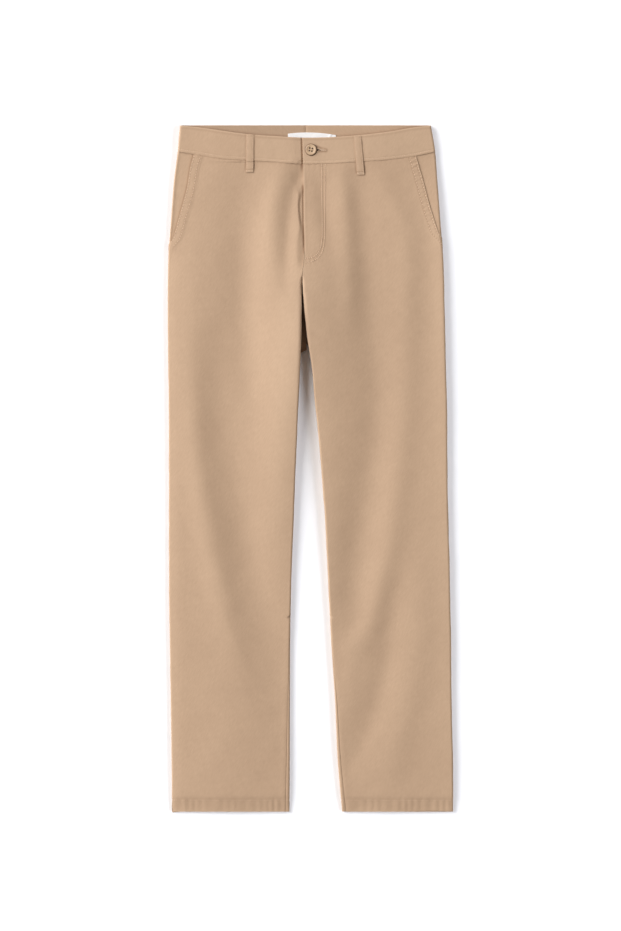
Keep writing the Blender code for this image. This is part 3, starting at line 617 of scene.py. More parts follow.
def line_distance(line, x, y):
    """(distance to a line in plan, length along the line to the nearest place)."""
    best, where = np.full(x.shape, 1e9), np.zeros(x.shape)
    chord = lengths_along(line)
    for start, stop, before in zip(line, line[1:], chord):
        span = stop - start
        size = float(span @ span)
        part = np.clip(((x - start[0]) * span[0] + (y - start[1]) * span[1]) / size, 0.0, 1.0)
        away = np.hypot(x - start[0] - part * span[0], y - start[1] - part * span[1])
        nearer = away < best
        best, where = np.where(nearer, away, best), np.where(nearer, before + part * math.sqrt(size), where)
    return best, where


# The two rows of stitches that hold the fly's facing, from the waistband to the fly's foot.
FLY_OUTER_ROW = (
    (22.6, 472), (22.1, 417), (21.6, 376.7), (21.2, 353.4), (19.5, 341),
    (15.9, 330.6), (7.5, 322.4), (1.6, 319.5), (-9.3, 318.7),
)
FLY_INNER_ROW = (
    (17, 472), (17.4, 417), (17.9, 376.7), (17.3, 353.4), (15.3, 341.8),
    (11.3, 332.6), (5.4, 327.4), (0.6, 325.4), (-9.3, 324.6),
)
fly_rows = [smooth_line(row, 4.0) for row in (FLY_OUTER_ROW, FLY_INNER_ROW)]
LoopPlace = namedtuple("LoopPlace", "top foot length")  # X at the loop's top and foot
FRONT_LOOPS = {"right": LoopPlace(-93.6, -94.4, 57.6), "left": LoopPlace(72.2, 77.4, 60.2)}


Pucker = namedtuple("Pucker", "height pitch")
PUCKERS = {
    "pocket": Pucker(0.6, 6.8),
    "hem": Pucker(0.22, 12.5),
    "fly": Pucker(0.1, 6.0),
    "front_waist": Pucker(0.16, 8.6),
    "waistband": Pucker(0.12, 8.0),
}


def rope(kind, along, seed):
    """Uneven puckers along a seam."""
    height, pitch = PUCKERS[kind]
    sway = 0.9 * np.sin(along / (4.3 * pitch) + seed) + 0.5 * np.sin(along / (1.9 * pitch) + 2.1 * seed)
    strength = 0.8 + 0.2 * np.sin(along / (3.1 * pitch) + 1.7 * seed)
    return height * (strength * np.sin(2 * math.pi * along / pitch + sway))


SEAM_SUNK = 0.35  # depth of a seam, and how far in from it the cloth sinks
SEAM_REACH = 0.9


def hem_relief(x, y, seed):
    """Ripples in the turned-up hem, its row of stitches and the soft ridge over them."""
    up = y - HEM
    uneven = x + 3.0 * np.sin(x / 9.0 + seed) + 2.0 * np.sin(x / 23.0 + 3.0 * seed)
    ripples = rope("hem", uneven, seed) * ease(up / 4.0 + 0.3) * ease((24.5 - up) / 9.0)
    stitched = -0.2 * bump_at(up - (HEM_STITCH - HEM), 0.8) + 0.2 * bump_at(up - 23.5, 2.0)
    return ripples + stitched


PUCKERED_AT = 412.0  # where along Y the pocket's edge is puckered most
FRONT_DRIFT = 0.16  # height of the washed cloth's unrest
BAND_DRIFT = 0.14


def front_relief(side, grid):
    """Seams, stitched rows, puckers, hem and the dent at the belt loop's foot."""
    x, y = plan(grid)
    from_outer, from_inner, from_top, _ = edge_lengths(grid)
    seed = 1.0 if side == "right" else 2.0
    total = FRONT_DRIFT * drift(x, y, int(seed))
    at_pocket = ease((y - POCKET_TIP - 3.0) / 9.0)
    doubled = (0.45 if side == "right" else 0.2) * (1 - ease((from_outer - 12.0) / 3.0))
    rows = -0.25 * (bump_at(from_outer - POCKET_ROWS[0], 0.7) + bump_at(from_outer - POCKET_ROWS[1], 0.8))
    puckers = rope("pocket", y + 0.4 * from_outer, seed) * bump_at(from_outer - 6.9, 3.2)
    puckers *= 0.35 + 0.65 * bump_at(y - PUCKERED_AT, 36.0)
    total += at_pocket * (doubled + rows + puckers)
    seam = 0.1 * bump_at(from_outer - 5.0, 2.6) - SEAM_SUNK * near(from_outer, SEAM_REACH)
    total += (1 - at_pocket) * seam
    in_leg = ease((CROTCH_TOP - y) / 12.0)
    total += in_leg * (0.1 * bump_at(from_inner - 5.0, 2.6) - SEAM_SUNK * near(from_inner, SEAM_REACH))
    total += -0.7 * near(from_top, 1.6) + rope("front_waist", x, seed + 3.0) * near(from_top, 8.0)
    total += hem_relief(x, y, seed)
    foot = FRONT_LOOPS[side].foot
    total += (np.abs(x - foot) < 30.0) * -0.3 * bump_at(x - foot, 8.0) * bump_at(y - 458.0, 9.0)
    if side == "left":
        for row in fly_rows:
            away, along = line_distance(row, x, y)
            total += -0.16 * bump_at(away, 0.8) + rope("fly", along, 4.0) * bump_at(away - 2.4, 1.8)
        total += 0.18 * ease((y - 322.0) / 20.0) * bump_at(from_inner - 1.8, 1.4)
    return total


print("stitched rows in the fly:", [round(float(lengths_along(row)[-1])) for row in fly_rows], "mm")

# %% [markdown]
# ## From a grid to a sheet of cloth
#
# One function turns a grid into a piece: an open mesh, thickened inwards by Solidify and with softly rounded
# rims by Bevel, because a folded edge of cloth is never sharp. It also stores three facts that the finish
# uses: how near each point is to an edge, where washed cotton fades and where a paler highlight is painted,
# also on the folds' ridges; how much painted shade it gets in seams, gaps and beside raised parts; and its
# place on the flat cloth, because a weave follows its cloth round every turn.

# %% Making a sheet
def mesh_from(name, points, faces, edges=(), smooth=True):
    """An object from points in millimetres."""
    mesh = bpy.data.meshes.new(name)
    mesh.from_pydata((np.asarray(points, float) * MM).tolist(), edges, faces)
    if smooth:
        mesh.shade_smooth()
    made = bpy.data.objects.new(name, mesh)
    bpy.context.scene.collection.objects.link(made)
    return made


def grid_faces(rows, cols, flipped):
    corner = (np.arange(rows - 1)[:, None] * cols + np.arange(cols - 1)[None, :]).reshape(-1)
    quads = np.stack([corner, corner + cols, corner + cols + 1, corner + 1], axis=1)
    return (quads[:, ::-1] if flipped else quads).tolist()


def store(piece, name, values, kind="FLOAT", field="value"):
    """Keep one fact for each point, for the finish to read."""
    made = piece.data.attributes.new(name, kind, "POINT")
    made.data.foreach_set(field, values.ravel().astype(np.float32))


def cloth_piece(name, grid, sign, thickness, rim, painted_shade=0.0, wear_and_highlight=1.4, lightened=0.0, sewn=0.0):
    """A sheet from a grid: face outwards by `sign`, rims rounded by `rim`, edges paler this far in, from wear
    and a painted highlight. The painted shade, the extra paleness and `sewn` go from 0 to 1, and an edge that
    is sewn to its neighbour isn't made paler."""
    rows, cols, _ = grid.shape
    piece = mesh_from(name, grid.reshape(-1, 3), grid_faces(rows, cols, sign > 0))
    nearest = np.minimum.reduce(edge_lengths(grid))
    # Paler towards free edges, from garment-washed wear and a painted highlight, and wherever extra paleness
    # is given.
    store(piece, "edge", np.maximum(near(nearest, wear_and_highlight) * (1 - sewn), lightened))
    # Painted shade: how dark each point is painted in seams, gaps and beside raised parts.
    store(piece, "painted_shade", np.clip(painted_shade + 0.0 * nearest, 0.0, 1.0))
    from_first, middle = edge_lengths(grid)[0], cols // 2
    from_middle = from_first - from_first[:, [middle]]
    across = grid[:, [middle], 0] + from_middle * np.sign(grid[0, -1, 0] - grid[0, 0, 0])
    on_cloth = np.stack([across, grid[:, :, 1], 0.0 * across], axis=2) * MM
    store(piece, "weave_place", on_cloth, "FLOAT_VECTOR", "vector")
    solidify = piece.modifiers.new("cloth", "SOLIDIFY")
    solidify.thickness = thickness * MM
    solidify.offset = -1.0
    solidify.use_even_offset = True
    solidify.material_offset = 1
    bevel = piece.modifiers.new("rounded_rims", "BEVEL")
    bevel.width = rim * MM
    bevel.segments = 2
    bevel.limit_method = "ANGLE"
    bevel.angle_limit = math.radians(55)
    return piece


def emboss(grid, sign, relief, flat_under=False):
    """The grid with its points moved along their normals by the relief; nothing goes under the surface."""
    moved = grid + grid_normals(grid, sign) * relief[:, :, None]
    if flat_under:
        moved[:, :, 2] = np.maximum(moved[:, :, 2], 0.0)
    return moved


def thicker_hem(piece, grid):
    """The turned-up hem is thicker than the rest of the panel."""
    hem = piece.vertex_groups.new(name="turned_hem")
    hem.add(np.flatnonzero(grid[:, :, 1].reshape(-1) < HEM_STITCH + 0.1).tolist(), 1.0, "REPLACE")
    solidify = piece.modifiers["cloth"]
    solidify.thickness = HEM_CLOTH * MM
    solidify.vertex_group = "turned_hem"
    solidify.thickness_vertex_group = CLOTH / HEM_CLOTH


def beside_loop(x, y):
    """1 in the narrow shade beside a front belt loop's edges and under its foot."""
    shade = 0.0
    for top, foot, length in FRONT_LOOPS.values():
        down = (through(FRONT_BAND, "top", top) - y) / length
        away = np.abs(x - top - (foot - top) * down) - LOOP_WIDTH / 2
        sides = bump_at(away - 0.3, 0.8) * ease((1.0 - down) * 20.0)
        sides *= 0.6 + 0.4 * ease(4 * down - 2.4)
        under = bump_at((down - 1.0) * length - 0.8, 0.7) * ease(1.0 - away)
        shade = np.maximum(shade, np.maximum(sides, under))
    return shade


def front_painted_shade(side, grid):
    """Painted shade on each point of a front, from 0 to 1: under the waistband, along stitched rows and the
    inseam, beside the fly and the belt loops.
    """
    x, y = plan(grid)
    from_outer, from_inner, from_top, _ = edge_lengths(grid)
    total = 0.5 * near(from_top, 2.0) + 0.15 * bump_at(y - HEM_STITCH, 0.8)
    stitched = sum(bump_at(from_outer - row - 0.3, 0.8) for row in POCKET_ROWS)
    at_pocket = ease((y - POCKET_TIP - 3.0) / 9.0)
    total += 0.32 * stitched * at_pocket
    total += 0.12 * near(from_inner, 1.0) * (y < CROTCH_TOP)
    if side == "right":
        # Painted shadow: a dark contact line beside the fly's edge, a dark spot and a dark wedge near its
        # top, and a soft line along the lens's rim.
        in_lens = ease((y - 370.0) / 10.0) * ease((428.0 - y) / 8.0)
        beside_fly = ease((y - 328.0) / 8.0) * (1 - 0.45 * in_lens) * ease((440.0 - y) / 8.0)
        total += beside_fly * bump_at(x - fly_line(y) + 0.9, 1.0)
        total += 0.8 * bump_at(np.hypot(x + 12.8, 0.4 * (y - 435.0)), 1.3)
        total += 0.95 * bump_at(np.hypot(x + 14.2, 0.3 * (y - 469.0)), 1.7)
        rim = through(LENS, "away", y) + 0.5 * through(LENS, "wide", y)
        total += 0.25 * in_lens * bump_at(x - fly_line(y) + rim, 1.5)
    else:
        for row in fly_rows:
            total += 0.2 * bump_at(line_distance(row, x, y)[0] - 1.1, 0.6)
    return total + 0.8 * beside_loop(x, y) * (y < BACK_BAND_SEAM)


SIGNS = {"right": -1.0, "left": 1.0}  # which way round each side's grids run
PANEL_RIM = 0.4
cloth = {}
for side in SIDES:
    painted_shade_mask = front_painted_shade(side, fronts[side])
    fronts[side] = emboss(fronts[side], SIGNS[side], front_relief(side, fronts[side]))
    # Painted highlight: the folds' ridges are painted paler.
    lightened = 0.6 * np.clip(folds(side, *plan(fronts[side])) / 8.0, 0.0, 1.0)
    from_outer, from_inner, _, _ = edge_lengths(fronts[side])
    row_y = fronts[side][:, :, 1]
    sewn = 1.0 * ((from_outer < 6.0) & (row_y < POCKET_TIP + 4.0) | (from_inner < 6.0) & (row_y < CROTCH_TOP))
    piece = cloth_piece(
        "front_panel_" + side, fronts[side], SIGNS[side], CLOTH, PANEL_RIM, painted_shade_mask, lightened=lightened, sewn=sewn
    )
    thicker_hem(piece, fronts[side])
    cloth["front_" + side] = piece
print("front panels:", [len(piece.data.polygons) for piece in cloth.values()], "faces each")

# %% [markdown]
# ## The back panels
#
# The backs lie flat on the surface and curl up to meet the fronts at the side seam and the inseam. They are
# seen only in the crotch, at the edges and from below, so their grids are coarser and their relief plainer.

# %% Back panels
CURL_STEPS = (0.0, 0.5, 1.2, 2.2, 3.4, 4.6, 5.8, 7.0, 9.0)
ROLL_STEPS = (0.0, 0.5, 1.2) + tuple(2.4 + 1.4 * number for number in range(11))
BACK_MIDDLE = 26
BACK_ROWS = rows_between(
    (BACK_BAND_SEAM, 1.5), (486.0, 6.0), (LEFT_CROTCH, 4.9), (RIGHT_CROTCH, 5.0), (170.0, 7.0),
    (HEM_STITCH + 14.0, 3.0), (HEM_STITCH, 2.0), (HEM, 1.0),
)


def back_inner(side, y):
    """The back's inner edge in plan: the centre back seam or, down the leg, the leg's inner edge."""
    centre = through(CENTRE_BACK, "x", y) - inwards(side) * SEAM_GAP / 2
    return np.where(y < crotch_line(side), inner_edge(side, y), centre)


def back_width(side, y):
    curls = 1 + (y < crotch_line(side))
    return np.abs(back_inner(side, y) - outer_edge(side, y)) + curls * (CURL - UNDER_ROUND)


def back_runs(side, y):
    outer = [SEAM_GAP / 2 + step + 0.0 * y for step in CURL_STEPS]
    in_leg = y < crotch_line(side)
    finish = back_width(side, y) + in_leg * (inseam_roll(side, y) - SEAM_GAP / 2)
    inner = [finish - step for step in ROLL_STEPS[::-1]]
    return outer + even_runs(outer[-1], inner[0], BACK_MIDDLE) + inner


def back_point(side, y, run):
    """X and Z of a back's face: it lies on the surface and curls up at the side seam and the inseam."""
    in_leg = y < crotch_line(side)
    left_over = back_width(side, y) - run
    inset_out, climb_out = round_edge(run, SEAM_HEIGHT, UNDER_ROUND)
    inset_in, climb_in = round_edge(np.maximum(left_over, 0.0), SEAM_HEIGHT, UNDER_ROUND)
    _, rise, radius = inner_round(side, y)
    inset_top, climb_top = round_edge(np.maximum(-left_over, 0.0), rise, radius)
    inset_in = np.where(left_over < 0.0, inset_top, inset_in)
    climb_in = np.where(left_over < 0.0, -climb_top, climb_in)
    from_inner = back_inner(side, y) - inwards(side) * np.where(in_leg, inset_in, left_over)
    x = np.where(run < left_over, outer_edge(side, y) + inwards(side) * inset_out, from_inner)
    z = np.where(run < CURL, SEAM_HEIGHT - climb_out, bed_height(side, x, y))
    return x, np.where(in_leg & (left_over < CURL), SEAM_HEIGHT - climb_in, z)


def back_grid(side):
    rows = BACK_ROWS
    grid = []
    for run in back_runs(side, rows):
        x, z = back_point(side, rows, run)
        grid.append(np.stack([x, rows - SEAM_GAP / 2 * (rows == rows[0]), z], axis=1))
    return np.stack(grid, axis=1)


def back_relief(grid):
    """Seams sink in and the hem's stitches draw it in; the relief only goes inwards, off the surface."""
    from_outer, from_inner, _, _ = edge_lengths(grid)
    seams = -SEAM_SUNK * (near(from_outer, SEAM_REACH) + near(from_inner, SEAM_REACH))
    up = grid[:, :, 1] - HEM
    return seams - 0.3 * bump_at(up - (HEM_STITCH - HEM), 0.8)


backs = {}
for side in SIDES:
    grid = back_grid(side)
    backs[side] = emboss(grid, -SIGNS[side], back_relief(grid), flat_under=True)
    from_outer, from_inner, _, _ = edge_lengths(backs[side])
    # Painted shade along the back's inner edge.
    painted_shade_mask = 0.1 * near(from_inner, 3.0)
    piece = cloth_piece("back_panel_" + side, backs[side], -SIGNS[side], CLOTH, PANEL_RIM, painted_shade_mask, sewn=1.0)
    thicker_hem(piece, backs[side])
    cloth["back_" + side] = piece
print("back panels:", [len(cloth["back_" + side].data.polygons) for side in backs], "faces each")

# %% [markdown]
# ## The waistband
#
# A chino's waistband is cloth folded double over a stiffener, so it is the thickest sheet. Each half runs
# from the centre back round the side to the front. The left half ends at the fly; the right half goes on
# under it and carries the button.

# %% Waistband
BAND_STITCH = 4.3  # the row of stitches over the waistband's lower seam
BAND_LOW = (0.0, 0.9, 1.7, 2.5, 3.4, BAND_STITCH, 5.2, 6.4)
BAND_HIGH = (0.0, 0.9, 1.8, 3.2)
BAND_MIDDLE = 12
BAND_RIM = 0.8
BAND_TURN = (-10.0, -8.4, -6.8, -5.4, -4.0, -2.7, -1.4, 0.0, 1.4, 2.8, 4.2, 5.6, 7.0, 8.4, 9.8, 11.2)
BAND_ENDS = {
    "right": tuple(BAND_LAP + 22.0 - 1.3 * number for number in range(12))
    + tuple(BAND_LAP + 6.6 - 0.6 * number for number in range(14)) + (30.0, 24.0, 16.0, 8.0, 1.0, 0.0),
    "left": (14.0, 10.0, 7.0, 5.0, 3.4, 2.0, 1.0, 0.0),
}


def band_height(side, x, y):
    """Height of the front waistband's face; the right half steps down under the left one at the fly."""
    height = top_height(side, x, y) + BAND_PROUD
    if side == "left":
        return height
    away = x - fly_line(y)
    beside_end = 0.3 * bump_at(away + 0.9, 0.9) * ease((512.0 - y) / 30.0)
    step = 0.3 * ease((away + 16.0) / 15.2) + 0.7 * ease((away + 3.6) / 2.8)
    return height - BAND_DROP * step - beside_end


def band_runs(side, y):
    """Where each column of a waistband half runs: from under 0 at the centre back to its front end."""
    centre = through(CENTRE_BACK, "x", y) - inwards(side) * SEAM_GAP / 2
    end = fly_line(y) + (BAND_LAP if side == "right" else 0.0)
    rise, radius = outer_round(side, y)
    outer = outer_edge(side, y)
    under = np.abs(centre - outer) - UNDER_ROUND + CURL
    over = np.abs(end - outer) - radius + round_length(rise, radius)
    turn = [run + 0.0 * y for run in BAND_TURN]
    ends = [over - step for step in BAND_ENDS[side]]
    back = [-under] + even_runs(-under, turn[0], 40)
    return back + turn + even_runs(turn[-1], ends[0], 72) + ends


def band_point(side, y, run):
    """X and Z of a waistband half's face, `run` along it from the side."""
    rise, radius = outer_round(side, y)
    inset_under, fall = round_edge(np.maximum(-run, 0.0), SEAM_HEIGHT, UNDER_ROUND)
    inset_over, climb = round_edge(np.maximum(run, 0.0), rise, radius)
    x = outer_edge(side, y) + inwards(side) * np.where(run < 0.0, inset_under, inset_over)
    turned = round_length(rise, radius)
    round_side = SEAM_HEIGHT + climb + BAND_PROUD * ease(run / turned)
    over = np.where(run > turned, band_height(side, x, y), round_side)
    under = np.where(run < -CURL, bed_height(side, x, y), SEAM_HEIGHT - fall)
    return x, np.where(run < 0.0, under, over)


def band_rows(deep):
    """Distances over the lower seam of the waistband's rows, where it is `deep` millimetres deep."""
    low = [step + 0.0 * deep for step in BAND_LOW]
    high = [deep - step for step in BAND_HIGH[::-1]]
    return np.einsum("rrc->rc", np.array(low + even_runs(low[-1], high[0], BAND_MIDDLE) + high))


def band_grid(side):
    """Points of a waistband half: rows from its seam to its top edge, columns from back to front."""
    middle = (WAIST_TOP + BACK_BAND_SEAM) / 2
    rows = len(BAND_LOW) + BAND_MIDDLE - 1 + len(BAND_HIGH)
    y = np.full((rows, len(band_runs(side, middle))), middle)
    for _ in range(4):
        run = own_runs(band_runs(side, y))
        x, z = band_point(side, y, run)
        in_front = ease((run + 2.0) / 10.0)
        seam = BACK_BAND_SEAM + in_front * (through(FRONT_BAND, "seam", x) - BACK_BAND_SEAM) + SEAM_GAP / 2
        top = WAIST_TOP + in_front * (through(FRONT_BAND, "top", x) - WAIST_TOP)
        y = seam + band_rows(top - seam)
    return np.stack([x, y, z], axis=2)


def band_relief(side, grid):
    """Seams, puckers and, round the buttonhole, the pull of the button."""
    x, y = plan(grid)
    _, _, from_seam, from_top = edge_lengths(grid)
    seed = 5.0 if side == "right" else 6.0
    total = -0.5 * near(from_seam, 1.1) - 0.35 * near(from_top, 0.8)
    total += -0.3 * bump_at(from_seam - BAND_STITCH, 0.7)
    puckers = rope("waistband", x, seed) * bump_at(from_seam - 2.2, 1.5)
    total += puckers + BAND_DRIFT * drift(x, y, int(seed), 70.0, 18.0)
    if side == "left":
        pull, _ = line_distance(smooth_line(((7.0, 500.7), (12.0, 496.9), (16.0, 494.1))), x, y)
        crease, along = line_distance(smooth_line(((24.0, 491.9), (40.0, 491.2), (58.0, 491.0))), x, y)
        total += -0.6 * bump_at(pull, 1.0) - 0.36 * bump_at(crease, 1.1) * (1 - along / 44.0)
    return np.where(grid[:, :, 2] < 3.0, np.minimum(total, 0.0), total)


# The outer edges of the buttonhole's stitching, and the bar that closes its end.
BUTTONHOLE_EDGES = (
    ((8.4, 498.9), (13.0, 496.7), (17.2, 494.9), (23.6, 494.0)),
    ((9.6, 491.9), (13.0, 490.4), (17.2, 490.0), (23.4, 490.0)),
    ((23.9, 494.2), (24.0, 492.2), (23.8, 489.8)),
)
bands = {}
for side in SIDES:
    grid = band_grid(side)
    bands[side] = emboss(grid, -SIGNS[side], band_relief(side, grid), flat_under=True)
    from_back, _, from_seam, _ = edge_lengths(grid)
    in_front = grid[:, :, 2] > 5.0
    # Painted shade: along the centre back and the lower seam, beside the belt loops, in a line under the
    # front's top edge and on the back band just above it, and round the buttonhole's stitching.
    painted_shade_mask = 0.25 * near(from_back, 0.9) + in_front * 0.35 * near(from_seam, 0.9)
    painted_shade_mask += 0.8 * in_front * beside_loop(*plan(grid))
    over_front = grid[:, :, 1] - through(FRONT_BAND, "top", grid[:, :, 0])
    painted_shade_mask += np.where(in_front, 0.3 * bump_at(over_front + 2.8, 0.7), 0.6 * bump_at(over_front - 0.6, 1.6))
    if side == "left":
        for line in BUTTONHOLE_EDGES:
            painted_shade_mask += in_front * bump_at(line_distance(smooth_line(line), *plan(grid))[0], 0.9)
    # Paler from x = -110 mm towards the wearer's left, on the front of the band.
    lightened = 0.45 * in_front * ease((grid[:, :, 0] + 110.0) / 50.0)
    name = "waistband_" + side
    cloth[name] = cloth_piece(
        name + "_cloth", bands[side], -SIGNS[side], WAISTBAND_CLOTH, BAND_RIM, painted_shade_mask, wear_and_highlight=1.0, lightened=lightened
    )
front_end = bands["left"][:, -1, 1]
print("waistband depth at the front:", round(float(front_end[-1] - front_end[0]), 1), "mm")

# %% [markdown]
# ## Pocket facings
#
# Where the front panel is cut away for the slanted pocket, a facing of the same twill shows between its edge
# and the side seam. It lies under the pocket's edge and is tucked in a little way, so no gap can show.

# %% Pocket facings
FACING_PARTS = tuple(number / 22 for number in range(23))


def facing_point(side, y, run, slant):
    """X and Z of the pocket facing, sunk under the front's face towards the slanted edge."""
    rise, radius = outer_round(side, y)
    inset, climb = round_edge(run, rise, radius)
    drop = POCKET_DROP if side == "right" else POCKET_DROP - 1.0
    sunk = drop * ease(run / np.minimum(0.85 * slant + 0.1, 12.0))
    turn = np.clip((run - rise + radius) / radius, 0.0, math.pi / 2)
    x = outer_edge(side, y) + inwards(side) * (inset + sunk * np.cos(turn))
    level = run > round_length(rise, radius)
    return x, np.where(level, top_height(side, x, y), SEAM_HEIGHT + climb) - sunk * np.sin(turn)


def facing_grid(side):
    rows = FRONT_ROWS[FRONT_ROWS > POCKET_TIP + 2.0]
    grid = []
    for part in FACING_PARTS:
        y = rows
        for _ in range(3):
            slant = run_at_inset(pocket_inset(side, y), *outer_round(side, y))
            start = SEAM_GAP + 2.6 * ease((POCKET_TIP + 30.0 - rows) / 20.0)
            x, z = facing_point(side, y, start + part * (slant + POCKET_TUCK - start), slant)
            y = rows + band_seam_shift(x, rows)
        grid.append(np.stack([x, y + WAIST_TUCK * (rows == rows[0]), z], axis=1))
    return np.stack(grid, axis=1)


for side in SIDES:
    grid = facing_grid(side)
    beside_edge = edge_lengths(grid)[1] - POCKET_TUCK
    # Painted shade along the pocket's slanted edge, where the facing lies under the front; darker and wider
    # on the right side.
    depth, wide = (1.0, 3.0) if side == "right" else (0.25, 1.6)
    painted_shade_mask = depth * (1 - ease((beside_edge + 0.4) / wide))
    cloth["pocket_facing_" + side] = cloth_piece(
        "pocket_facing_" + side + "_cloth", grid, SIGNS[side], CLOTH - 0.2, 0.3, painted_shade_mask
    )
print("pocket openings:", round(float(edge_lengths(grid)[2][-1, 0])), "mm long")

# %% [markdown]
# ## Belt loops
#
# A belt loop is a strip folded to 12 mm, stitched near both edges, caught under the waistband's top edge and
# held at its foot by a bar of dense stitches. Between its ends it stands a little off the waistband, so that
# a belt can pass. Two are in front and three behind, and those behind lie between the band and the surface.

# %% Belt loops
def band_face(x, y):
    """Height of the closed front waistband's face, and of the fronts just under it."""
    right, left = top_height("right", x, y), top_height("left", x, y)
    return np.where(x < fly_line(y), right, left) + BAND_PROUD


LOOP_THIN = 0.8  # a loop's cloth where it is pressed flat


def front_loop_grid(x_top, x_foot, length):
    along = np.linspace(0.0, 1.0, 60)[:, None]
    across = np.sin(np.linspace(-math.pi / 2, math.pi / 2, 17))[None, :] / 2
    y = through(FRONT_BAND, "top", x_top) - 0.6 - along * length + 0.0 * across
    x = x_top + (x_foot - x_top) * along + across * LOOP_WIDTH
    from_edge = (0.5 - np.abs(across)) * LOOP_WIDTH
    bow = 0.3 * np.sin(math.pi * along) ** 0.8
    pressed = -0.5 * near(from_edge, 0.8) - 0.22 * bump_at(from_edge - 1.9, 0.6)
    waves = 0.12 * np.sin(y / 3.1 + across * 5.0) * bump_at(from_edge - 1.2, 1.6)
    ends = -0.45 * bump_at((1 - along) * length - 2.5, 1.3) - 0.3 * bump_at(along * length - 2.4, 1.2)
    z = band_face(x, y) + LOOP_THIN + bow + pressed + waves + ends
    return np.stack([x, y, z], axis=2)


def back_loop_grid(x_middle):
    along = np.linspace(0.0, 1.0, 24)[:, None]
    across = np.sin(np.linspace(-math.pi / 2, math.pi / 2, 11))[None, :] / 2
    y = WAIST_TOP - 1.0 - along * (LOOP_LENGTH - 3.0) + 0.0 * across
    x = x_middle + across * LOOP_WIDTH + 0.0 * along
    from_edge = (0.5 - np.abs(across)) * LOOP_WIDTH
    return np.stack([x, y, 0.3 * near(from_edge, 0.7) + 0.0 * x], axis=2)


loop_grids = {}
for side, loop_place in FRONT_LOOPS.items():
    name = "belt_loop_front_" + side
    loop_grids[name] = front_loop_grid(*loop_place)
    from_first, from_last, _, from_foot = edge_lengths(loop_grids[name])
    # Painted shade along the loop's long edges and in a line near its foot.
    painted_shade_mask = 0.7 * near(np.minimum(from_first, from_last), 0.7) + 0.5 * bump_at(from_foot - 3.6, 0.7)
    cloth[name] = cloth_piece(name + "_cloth", loop_grids[name], -1.0, LOOP_THIN, 0.3, painted_shade_mask, wear_and_highlight=0.8)
for place, x_middle in (("right", -122.0), ("centre", -8.0), ("left", 106.0)):
    name = "belt_loop_back_" + place
    loop_grids[name] = back_loop_grid(x_middle)
    cloth[name] = cloth_piece(name + "_cloth", loop_grids[name], 1.0, LOOP_CLOTH - 0.3, 0.3)
print("belt loops:", len(loop_grids))

# %% [markdown]
# ## The label
#
# A woven satin label is sewn inside the back waistband, and its upper edge shows over the front. It is left
# bare. Its right end has a small pleat where it was sewn on a curve.

# %% Label
LABEL_WIDTH = 74.2
LABEL_DEPTH = 19.0
LABEL_BOW = 2.9
LABEL_AT = (1.9, 517.1)


def label_grid():
    along = np.linspace(-0.5, 0.5, 75)[None, :] * LABEL_WIDTH
    down = np.linspace(0.0, 1.0, 22)[:, None]
    bow = LABEL_BOW * (1 - (2 * along / LABEL_WIDTH) ** 2)
    x = LABEL_AT[0] + along + 0.0 * down
    y = LABEL_AT[1] + bow - 0.03 * along - down * LABEL_DEPTH
    pleat = 0.5 * bump_at(x - 30.9 - 0.6 * (y - 516.4), 0.9)
    z = bed_height("right", x, y) + WAISTBAND_CLOTH + 0.35 + LABEL_CLOTH + pleat
    return np.stack([x, y, z + 0.1 * drift(x, y, 9, 40.0, 9.0)], axis=2)


label = cloth_piece("woven_satin_label", label_grid(), -1.0, LABEL_CLOTH, 0.2)
cloth["woven_label"] = label
print("label:", LABEL_WIDTH, "x", LABEL_DEPTH, "mm")

# %% [markdown]
# ## The button
#
# The waist button is moulded resin with a raised rim, a dished middle and four holes. It is a turned shape,
# so its profile goes round an axis with a Screw modifier; the holes are cut with Booleans and the result is
# kept as a plain mesh. Its thread crosses the middle in two short bars.

# %% Button
HOLE_RADIUS = 1.35
HOLES_CIRCLE = 2.9  # radius of the circle through the four sewing holes
HOLES_TURN = 0.6
hole_angles = [HOLES_TURN + number * math.pi / 2 for number in range(4)]
hole_places = [
    np.array(BUTTON_AT) + HOLES_CIRCLE * np.array([math.cos(angle), math.sin(angle)]) for angle in hole_angles
]
button_base = float(band_face(np.array(BUTTON_AT[0]), np.array(BUTTON_AT[1]))) + 0.3
BUTTON_PROFILE = (
    (0.0, 1.9), (3.6, 1.9), (4.8, 1.95), (5.6, 2.1), (6.2, 2.3), (6.8, 2.42), (7.3, 2.45), (7.8, 2.4),
    (8.2, 2.2), (8.6, 1.9), (9.0, 1.5), (9.3, 1.05), (9.25, 0.7), (8.9, 0.35), (8.3, 0.1), (7.4, 0.0),
    (0.0, 0.0),
)


def turned(name, profile, steps):
    """A closed turned body from (radius, height) points, the outer side read from the top down."""
    edges = [(i, i + 1) for i in range(len(profile) - 1)]
    made = mesh_from(name, [(radius, 0.0, height) for radius, height in profile], [], edges, smooth=False)
    screw = made.modifiers.new("turned", "SCREW")
    screw.steps = screw.render_steps = steps
    screw.use_merge_vertices = True
    screw.merge_threshold = 0.00002
    screw.use_normal_calculate = True
    return made


def applied(obj, cutters=()):
    """The object with its modifiers, and with the cutters' holes, kept as a plain mesh."""
    for cutter in cutters:
        cut = obj.modifiers.new("hole", "BOOLEAN")
        cut.operation, cut.solver, cut.object = "DIFFERENCE", "EXACT", cutter
    mesh = bpy.data.meshes.new_from_object(obj.evaluated_get(bpy.context.evaluated_depsgraph_get()))
    obj.modifiers.clear()
    obj.data = mesh
    for cutter in cutters:
        bpy.data.objects.remove(cutter)
    return obj


